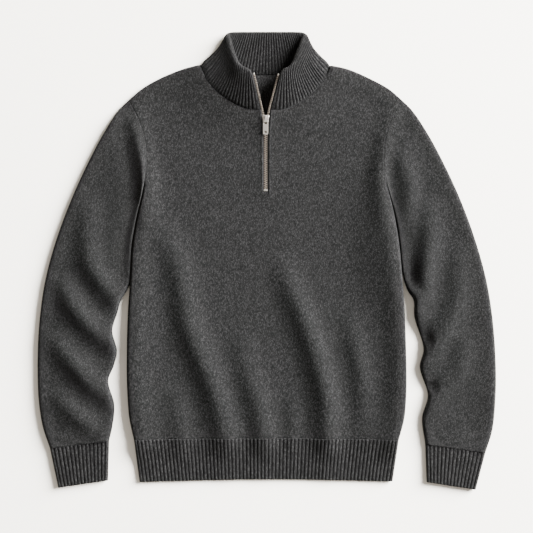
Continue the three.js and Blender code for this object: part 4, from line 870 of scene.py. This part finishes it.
def beside_seam(name, seam, clear):
    """A place beside the neck seam of one half, clear of the panel by the distance given."""
    share = (seam - 1) / 2 if name == "right" else 1 - (seam - 1) / 2
    curve, at = (Curve(OUTLINE[name]["neck"][::-1]), seam) if seam <= 1 else (back_neck, share)
    a, b = curve.at(at - 0.004), curve.at(at + 0.004)
    away = np.array([a[1] - b[1], b[0] - a[0]]) / np.linalg.norm(b - a)
    return curve.at(at) + away * math.copysign(clear - 1.0, away[1])


collar_rows = []
for name in SIDES:
    rows = [dict(r, base=beside_seam(name, r["seam"], r["clear"]), number=k)
            for k, r in enumerate(COLLAR_LINES[name])]
    collar_rows += rows if name == "right" else rows[::-1]
    if name == "right":
        collar_rows.append(dict(base=beside_seam("right", 2, 0.9), rx=0, ry=COLLAR_BACK_Y, rz=COLLAR_KNIT / 2,
                                out=0, up=0, number=11))


def collar_base_height(r):
    if r["number"] < COLLAR_SIDE_LINE:
        return float(front_top(*r["base"])) - KNIT / 2
    return BODY_EDGE + 0.7 if r["number"] == COLLAR_SIDE_LINE else COLLAR_KNIT / 2 + 0.2


collar_base = Curve([(*r["base"], collar_base_height(r)) for r in collar_rows])
collar_rim = Curve([(r["rx"], r["ry"], r["rz"]) for r in collar_rows])
collar_bow = Curve([(-r["out"], 0, r["up"]) for r in collar_rows])


def collar_middle(around, up):
    """Middle of the collar's wall, around from 0 to 1 and up from 0 at the seam to 1 at the rim."""
    n = np.clip(around, 0, 1) * (len(collar_rows) - 1)
    up = np.asarray(up, float)[..., None]
    straight = mix(collar_base.at_number(n), collar_rim.at_number(n), up)
    return straight + collar_bow.at_number(n) * 4 * up * (1 - up)


def even_around(shares):
    """Places around the collar at these shares of its length, by its seam and its rim."""
    k = np.linspace(0, 1, 1201)
    step = [np.linalg.norm(np.diff(collar_middle(k, np.full(k.shape, u)), axis=0), axis=1) for u in (0, 1)]
    travel = np.concatenate([[0], np.cumsum(0.35 * step[0] + 0.65 * step[1])])
    return np.interp(shares, travel / travel[-1], k), float(travel[-1])


# %% Collar
COLLAR_RIBS, COLLAR_STEPS, COLLAR_RELIEF = 84, 8, 1.5
RIM_HALF = 5.2                                # half the thickness of the roll along the rim
CORNER = dict(drop=0.10, reach=9)             # the rim turns down to the zip
COLLAR_STRIP = 4.6                            # plain knit beside the zip
end_shares = from_edge(2.6, 480, 6)
shares = np.unique(np.concatenate([np.linspace(0, 1, COLLAR_RIBS * COLLAR_STEPS + 1),
                                   end_shares, 1 - end_shares]).round(6))
around, collar_length = even_around(shares)
ups = np.concatenate([[0, 0.02, 0.045], np.linspace(0.08, 1, 24)])
caps = np.radians([15, 32, 50, 66, 80])
AR, UP = np.meshgrid(around, ups)
SH = np.broadcast_to(shares, AR.shape)
from_end = np.minimum(SH, 1 - SH) * collar_length
corner_drop = CORNER["drop"] * (1 - rounded(from_end, CORNER["reach"]))
UP = UP * (1 - (RIM_HALF - COLLAR_KNIT / 2) / COLLAR_HEIGHT - corner_drop)
middle = collar_middle(AR, UP)
along = collar_middle(AR + 0.004, UP) - collar_middle(AR - 0.004, UP)
climb = collar_middle(AR, np.minimum(UP + 0.01, 1)) - collar_middle(AR, np.maximum(UP - 0.01, 0))
climb[0, :, 2] = 0
normal = np.cross(climb, along)
normal /= np.linalg.norm(normal, axis=-1, keepdims=True)
climb /= np.linalg.norm(climb, axis=-1, keepdims=True)
wall = mix(COLLAR_KNIT / 2, RIM_HALF, smooth((UP - 0.45) / 0.5)) * mix(0.5, 1, smooth(UP / 0.1))
half = wall * rounded(from_end, 3.4)
plain = smooth((from_end - COLLAR_STRIP + 1) / 2)      # 0 on the plain strip beside the zip
ribs = COLLAR_RELIEF * (rib_shape(SH * COLLAR_RIBS) - 0.5) * plain * mix(0.3, 1, smooth(UP / 0.08))
beneath = smooth((-normal[..., 2] - 0.5) / 0.3)
outer = middle + normal * (half + ribs * (1 - beneath))[..., None]
inner = middle - normal * (half + 0.8 * ribs)[..., None]
roll_half = (half[-1] + 0.6 * ribs[-1])[:, None]
roll = [[middle[-1] + roll_half * (climb[-1] * math.sin(c) + side * normal[-1] * math.cos(c)) for c in caps]
        for side in (1, -1)]
outer, inner = np.concatenate([outer, roll[0]]), np.concatenate([inner, roll[1]])
outer[..., 2] = np.maximum(outer[..., 2], 0)
inner[..., 2] = np.maximum(inner[..., 2], 0.1)
heights = np.concatenate([ups, 1 + caps * 0.04])[:, None] * COLLAR_HEIGHT / COURSE
uv = np.stack(np.broadcast_arrays(shares * COLLAR_RIBS * STITCHES_PER_RIB, heights), -1)
collar = cloth("collar_cloth", outer, inner, uv, material=RIB_CLOTH, lining=COLLAR_INSIDE_PAINTED_DARKER, bulge=0.1)
print("collar is", round(collar_length), "mm round")

# %% [markdown]
# ## Zip
# Metal teeth are clamped on the edges of two woven tapes. They are locked together below the slider and
# part above it, where each row follows its edge of the slit and then the edge of the collar.

# %% Teeth
CHAIN = dict(open_half=1.4, below=1.9, start=125.0, stop=248.4, pitch=3.2)
SLIDER_Y = 247
TOOTH = dict(closed=(3.4, 1.4, 2.6), open=(3.2, 1.8, 2.6), bevel=0.3, aside=1.3)
# Where the rows part: y, and how far the teeth are from the middle there.
PARTING = np.array([(CHAIN["stop"], 1.6), (251.5, 2.7), (255, 4.2), (259.5, 5.2)])


def zip_height(y):
    return front_top(ZIP_X, y) - CHAIN["below"]


def around_rings(n, rings):
    """Faces round rings of n points that follow one another, and over both ends."""
    faces = [[n * r + k, n * r + (k + 1) % n, n * r + n + (k + 1) % n, n * r + n + k]
             for r in range(rings - 1) for k in range(n)]
    return faces + [list(range(n))[::-1], list(range(n * (rings - 1), n * rings))]


def block(size, bevel):
    """A box with cut corners, as points and faces: outlines of eight corners at four heights."""
    x, y, z = (s / 2 for s in size)
    points = []
    for height, inset in ((-z, bevel), (-z + bevel, 0), (z - bevel, 0), (z, bevel)):
        a, b = x - inset, y - inset
        c = min(a, b) * 0.35
        points += [(a - c, -b, height), (a, -b + c, height), (a, b - c, height), (a - c, b, height),
                   (-a + c, b, height), (-a, b - c, height), (-a, -b + c, height), (-a + c, -b, height)]
    return np.array(points, float), around_rings(8, 4)


def together(shapes):
    points, faces = [], []
    for p, f in shapes:
        faces += [[len(points) + k for k in face] for face in f]
        points += p.tolist()
    return np.array(points), faces


def metal_piece(name, shape, frames, material, node):
    """One mesh with a copy of the shape at each frame, a place with its three axes."""
    points, faces = together([(shape[0] @ np.array(axes) + place, shape[1]) for place, axes in frames])
    obj = mesh_object(name, points, faces, points[:, :2], [material], rounded_off=False)
    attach(obj, "sweater")
    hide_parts(node)
    return obj


def along_path(path, start, aside=0.0):
    """Frames for the teeth along a curve: x across it, y along it and z up."""
    frames = []
    for s in np.arange(start, path.length - 0.3, CHAIN["pitch"]):
        a, p, b = (path.at((s + d) / path.length) for d in (-0.5, 0, 0.5))
        y = (b - a) / np.linalg.norm(b - a)
        x = np.array([y[1], -y[0], 0]) / np.hypot(y[0], y[1])
        z = np.cross(x, y)
        frames.append((p + x * aside, (x, y, z)))
    return frames


ys = np.linspace(CHAIN["start"], CHAIN["stop"], 40)
closed = Curve(np.stack([np.full(ys.shape, ZIP_X), ys, zip_height(ys)], -1), 6)
both_rows = [frame for k, side in enumerate((-1, 1))
             for frame in along_path(closed, 0.6 + k * CHAIN["pitch"] / 2, side * TOOTH["aside"])]
closed_teeth = metal_piece("zip_teeth_closed", block(TOOTH["closed"], TOOTH["bevel"]), both_rows, TEETH_METAL,
                           "zip_chain_closed")

open_path, open_teeth = {}, {}
for name in SIDES:
    sign = OUTLINE[name]["sign"]
    start = [(ZIP_X + sign * offset, y, float(zip_height(y))) for y, offset in PARTING[1:]]
    edge = collar_middle(np.full(7, 0.0 if name == "right" else 1.0), np.linspace(0.03, 0.95, 7))
    edge[:, 0] -= sign * (CHAIN["open_half"] + 0.6)
    open_path[name] = Curve(start + edge.tolist())
    open_teeth[name] = metal_piece(f"zip_teeth_{name}", block(TOOTH["open"], TOOTH["bevel"]),
                                   along_path(open_path[name], 0.6), TEETH_METAL, f"zip_chain_{name}")
faces_each = len(around_rings(8, 4))
print("teeth:", [len(t.data.polygons) // faces_each for t in (closed_teeth, *open_teeth.values())])

# %% Stops
STOPS = dict(top=(2.8, 3.2, 2.8), bottom=(6.6, 3.0, 3.0), bevel=0.5, beyond=1.9, before=1.8, proud=0.3)
for name in SIDES:
    end = open_path[name].at(1.0)
    beyond = end - open_path[name].at(0.97)
    beyond /= np.linalg.norm(beyond)
    x = np.array([beyond[1], -beyond[0], 0]) / np.hypot(beyond[0], beyond[1])
    frame_at = (end + beyond * STOPS["beyond"], (x, beyond, np.cross(x, beyond)))
    metal_piece(f"zip_top_stop_{name}", block(STOPS["top"], STOPS["bevel"]), [frame_at], SLIDER_METAL,
                f"zip_stop_top_{name}")
y = CHAIN["start"] - STOPS["before"]
frame_at = (np.array([ZIP_X, y, float(zip_height(y)) + STOPS["proud"]]), np.eye(3))
metal_piece("zip_bottom_stop", block(STOPS["bottom"], STOPS["bevel"]), [frame_at], SLIDER_METAL,
            "zip_stop_bottom")

# %% Tapes
TAPE = dict(width=12, thickness=0.6, start=120.5, stop=261.5, beside_teeth=1.5, under=0.3, thread=0.8)
tapes, tape_area = {}, {}
for name in SIDES:
    sign = OUTLINE[name]["sign"]
    ys = np.linspace(TAPE["start"], TAPE["stop"], 60)
    inner_x = np.interp(ys, *PARTING.T) + TAPE["beside_teeth"]
    xs = ZIP_X + sign * (inner_x[:, None] + np.linspace(0, TAPE["width"], 7)[None])
    yy = np.broadcast_to(ys[:, None], xs.shape)
    outer = np.stack([xs, yy, front_top(xs, yy) - KNIT - TAPE["under"]], -1)
    uv = np.stack([xs - ZIP_X, yy], -1) / TAPE["thread"]
    tapes[name] = cloth(f"zip_tape_{name}_cloth", outer, outer - [0, 0, TAPE["thickness"]], uv,
                        material=TAPE_CLOTH)
    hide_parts(f"zip_tape_{name}")
    tape_area[name] = plan_area(outer[..., :2])

# %% [markdown]
# ## Stitching
# The tapes are sewn to the front by a row of stitches on each side of the slit and one across its end. Each
# stitch is a short thread that dips into the cloth at both ends.

# %% Stitches
# aside: distance from the slit's edge, below: from its end. proud: how far the middle of the thread stands
# out. dip: how far its ends go down from there. rings: sections along a thread, of six points each.
STITCH = dict(length=2.5, gap=0.9, half=0.28, aside=2.6, below=3, top=258, proud=0.35, dip=0.8, rings=7)


def stitch_rows():
    step = STITCH["length"] + STITCH["gap"]
    for name in SIDES:
        ys = np.arange(ZIP_END_Y - 1, STITCH["top"], step)
        xs = ZIP_X + OUTLINE[name]["sign"] * (slit_half(ys) + STITCH["aside"])
        yield from (((x, y), (0, 1)) for x, y in zip(xs, ys))
    half = SLIT[0, 1] + STITCH["aside"]
    xs = np.arange(ZIP_X - half + step / 2, ZIP_X + half, step)
    yield from (((x, ZIP_END_Y - STITCH["below"]), (1, 0)) for x in xs)


def thread(place, along):
    t = np.linspace(-1, 1, STITCH["rings"])
    p = np.array(place) + np.array(along) * t[:, None] * STITCH["length"] / 2
    middle = np.column_stack([p, front_top(p[:, 0], p[:, 1]) + STITCH["proud"] - STITCH["dip"] * t ** 4])
    across = np.array([-along[1], along[0], 0.0])
    turn = np.linspace(0, 2 * math.pi, 7)[:-1]
    ring = np.cos(turn)[:, None] * across + np.sin(turn)[:, None] * np.array([0, 0, 1.0])
    points = (middle[:, None] + STITCH["half"] * ring[None]).reshape(-1, 3)
    return points, around_rings(6, STITCH["rings"])


threads = [thread(place, along) for place, along in stitch_rows()]
points, faces = together(threads)
stitches = mesh_object("zip_stitches", points, faces, points[:, :2], [KNIT_CLOTH])
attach(stitches, "sweater")
print("stitches:", len(threads))

# %% [markdown]
# ## Slider and pull tab
# The slider is two plates joined by a post, with flanges that hug the chain and a raised bail on top. The tab
# is a flat plate with a window that the bail passes through, and an eye near its free end. It turns on the
# bail, so it rides on its own body.

# %% Plates


def plate(outline, layers):
    """A solid plate from a rounded outline: layers are (height, inset) from the bottom to the top."""
    p = np.array(outline, float)
    middle = p.mean(0)
    rings = []
    for height, inset in layers:
        gap = p - middle
        size = np.linalg.norm(gap, axis=1, keepdims=True)
        rings.append(np.column_stack([middle + gap * (1 - inset / size), np.full(len(p), height)]))
    return np.concatenate(rings), around_rings(len(p), len(layers))


def beam(size, centre, bevel=0.25):
    points, faces = block(size, bevel)
    return points + np.array(centre, float), faces


# %% Slider
# The plates, the post and the flanges are in the slider's own plane, with the bail over them.
SLIDER_SIDE = [(3.6, -5.8), (4.4, -4.4), (4.7, -1), (6.0, 3), (6.0, 5.2), (4.3, 6.6)]
other_side = [(-x, y) for x, y in SLIDER_SIDE[::-1]]
SLIDER_OUTLINE = Curve(other_side[-1:] + SLIDER_SIDE + other_side, 5).points[:-1]
slope = math.atan2(float(zip_height(SLIDER_Y + 5) - zip_height(SLIDER_Y - 5)), 10)
seat = Matrix.Translation((ZIP_X, SLIDER_Y, float(zip_height(SLIDER_Y)))) @ Matrix.Rotation(slope, 4, "X")
parts = [plate(SLIDER_OUTLINE, ((1.6, 0.3), (1.9, 0), (2.6, 0), (3.0, 0.5), (3.2, 1.5))),
         plate(SLIDER_OUTLINE, ((-3.8, 0.4), (-3.5, 0), (-2.9, 0), (-2.6, 0.4))),
         beam((1.8, 5, 6.2), (0, 4.5, -0.5)),
         beam((0.7, 8.5, 1.8), (4.6, -0.2, 1.3)), beam((0.7, 8.5, 1.8), (-4.6, -0.2, 1.3)),
         beam((2.4, 11.4, 1.3), (0, 0.7, 6.35), 0.4), beam((2.4, 1.5, 4.4), (0, -4.3, 4.7), 0.3),
         beam((2.4, 1.5, 4.4), (0, 5.7, 4.7), 0.3)]
metal_piece("zip_slider_body", together(parts), [(np.array(seat.translation), np.array(seat.to_3x3()).T)],
            SLIDER_METAL, "zip_slider")

# %% Pull tab
# The tab lies in its own plane, with the hinge at 0 and the free end at -length.
TAB = dict(width=9.0, length=29.5, thickness=1.3, bevel=0.22, beyond_hinge=0.75, corner=1.0, end_corner=1.8,
           hinge=3.0, hinge_height=4.35, rest=1.4)
WINDOW = dict(half=2.8, top=-0.7, bottom=-11.8, corner=0.9)
EYE = dict(across=2.7, along=2.1, from_end=4.4)


def rounded_box(half, top, bottom, top_corner, bottom_corner):
    """Outline of a box with rounded corners, from the right corner at its top round to the left."""
    corners = ((half, top, top_corner), (-half, top, top_corner), (-half, bottom, bottom_corner),
               (half, bottom, bottom_corner))
    points = []
    for quarter, (x, y, r) in enumerate(corners):
        x -= math.copysign(r, x)
        y += r if y == bottom else -r
        points += [(x + r * math.cos(t), y + r * math.sin(t)) for t in
                   (quarter + np.linspace(0, 1, 5)) * math.pi / 2]
    return points


def tab_curve():
    bevel = TAB["bevel"]
    curve = bpy.data.curves.new("zip_pull_tab_plate", "CURVE")
    curve.dimensions, curve.fill_mode = "2D", "BOTH"
    curve.extrude, curve.bevel_depth, curve.bevel_resolution = 0.42 * MM, bevel * MM, 2
    rim = rounded_box(TAB["width"] / 2 - bevel, TAB["beyond_hinge"] - bevel, bevel - TAB["length"],
                      TAB["corner"], TAB["end_corner"])
    window = rounded_box(WINDOW["half"], WINDOW["top"], WINDOW["bottom"], WINDOW["corner"], WINDOW["corner"])
    turn = np.linspace(0, 2 * math.pi, 21)[:-1]
    eye_y = EYE["from_end"] - TAB["length"]
    eye = [(EYE["across"] * math.cos(t), eye_y + EYE["along"] * math.sin(t)) for t in turn]
    for loop in (rim, window, eye):
        spline = curve.splines.new("POLY")
        spline.points.add(len(loop) - 1)
        for point, (x, y) in zip(spline.points, loop):
            point.co = (x * MM, y * MM, 0, 1)
        spline.use_cyclic_u = True
    return curve


hinge = Vector(seat @ Vector((0, TAB["hinge"], TAB["hinge_height"])))
tip_y = hinge.y - TAB["length"] + 1
rests_at = float(front_top(ZIP_X + 3.7, tip_y)) + TAB["rest"] + TAB["thickness"] / 2
angle = math.asin((hinge.z - rests_at) / TAB["length"])
made = bpy.data.objects.new("made", tab_curve())
bpy.context.scene.collection.objects.link(made)
bpy.context.view_layer.update()
mesh = bpy.data.meshes.new_from_object(made.evaluated_get(bpy.context.evaluated_depsgraph_get()))
bpy.data.objects.remove(made)
mesh.transform(Matrix.Translation(hinge * MM) @ Matrix.Rotation(angle, 4, "X"))
mesh.name = "zip_pull_tab_plate"
mesh.materials.clear()
mesh.materials.append(SLIDER_METAL)
tab = bpy.data.objects.new("zip_pull_tab_plate", mesh)
bpy.context.scene.collection.objects.link(tab)
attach(tab, "pull_tab")
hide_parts("zip_pull_tab")
print("tab hinge at", [round(c, 2) for c in hinge], "rest angle", round(math.degrees(angle), 2))

# %% [markdown]
# ## The plain pieces
# The imported pieces that the finer cloth stands in for are hidden.

# %% Plain pieces hidden
for obj, node in ((front, "front"), (back, "back"), (hem_front, "hem_rib_front"), (hem_back, "hem_rib_back"),
                  (collar, "collar")):
    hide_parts(node)
for name in SIDES:
    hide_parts(f"sleeve_{name}")
    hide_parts(f"cuff_{name}")
for name in SIDES:
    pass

# %% [markdown]
# ## The surface, the light and the camera
# The surface is plain and nearly white. A large soft lamp stands to the right and towards the neck, so folds
# are light on their right and dark on their left, and the sweater's shadow falls to the left. The room gives
# an even pale light from all round.

# %% Stage
mesh = bpy.data.meshes.new("floor")
mesh.from_pydata([(-4, -4, -0.0004), (4, -4, -0.0004), (4, 4, -0.0004), (-4, 4, -0.0004)], [], [(0, 1, 2, 3)])
floor = bpy.data.objects.new("floor", mesh)
bpy.context.scene.collection.objects.link(floor)
material, tree, surface = new_material("pale surface")
surface.inputs["Base Color"].default_value = (0.89, 0.86, 0.785, 1)
surface.inputs["Roughness"].default_value = 0.9
surface.inputs["Specular IOR Level"].default_value = 0.1
mesh.materials.append(material)

world = bpy.data.worlds.new("room")
world.use_nodes = True
world.node_tree.nodes["Background"].inputs[0].default_value = (1.0, 0.93, 0.85, 1)
world.node_tree.nodes["Background"].inputs[1].default_value = 0.66
bpy.context.scene.world = world

LAMP_PLACE = Vector((5.5, 2.8, 3.15))
light = bpy.data.lights.new("key lamp", "AREA")
light.shape, light.size, light.energy = "DISK", 5.0, 8150
lamp = bpy.data.objects.new("key lamp", light)
lamp.location = LAMP_PLACE
lamp.rotation_euler = (-LAMP_PLACE).to_track_quat("-Z", "Y").to_euler()
bpy.context.scene.collection.objects.link(lamp)

SEEN_WIDTH, LENS, SENSOR = 0.933, 100, 36     # width of the surface in the picture, at the garment's height
camera_data = bpy.data.cameras.new("camera")
camera_data.lens, camera_data.sensor_width = LENS, SENSOR
camera = bpy.data.objects.new("camera", camera_data)
camera.location = (0.0002, -0.0102, 0.005 + SEEN_WIDTH * LENS / SENSOR)
bpy.context.scene.collection.objects.link(camera)
bpy.context.scene.camera = camera
print("view transform:", bpy.context.scene.view_settings.view_transform)
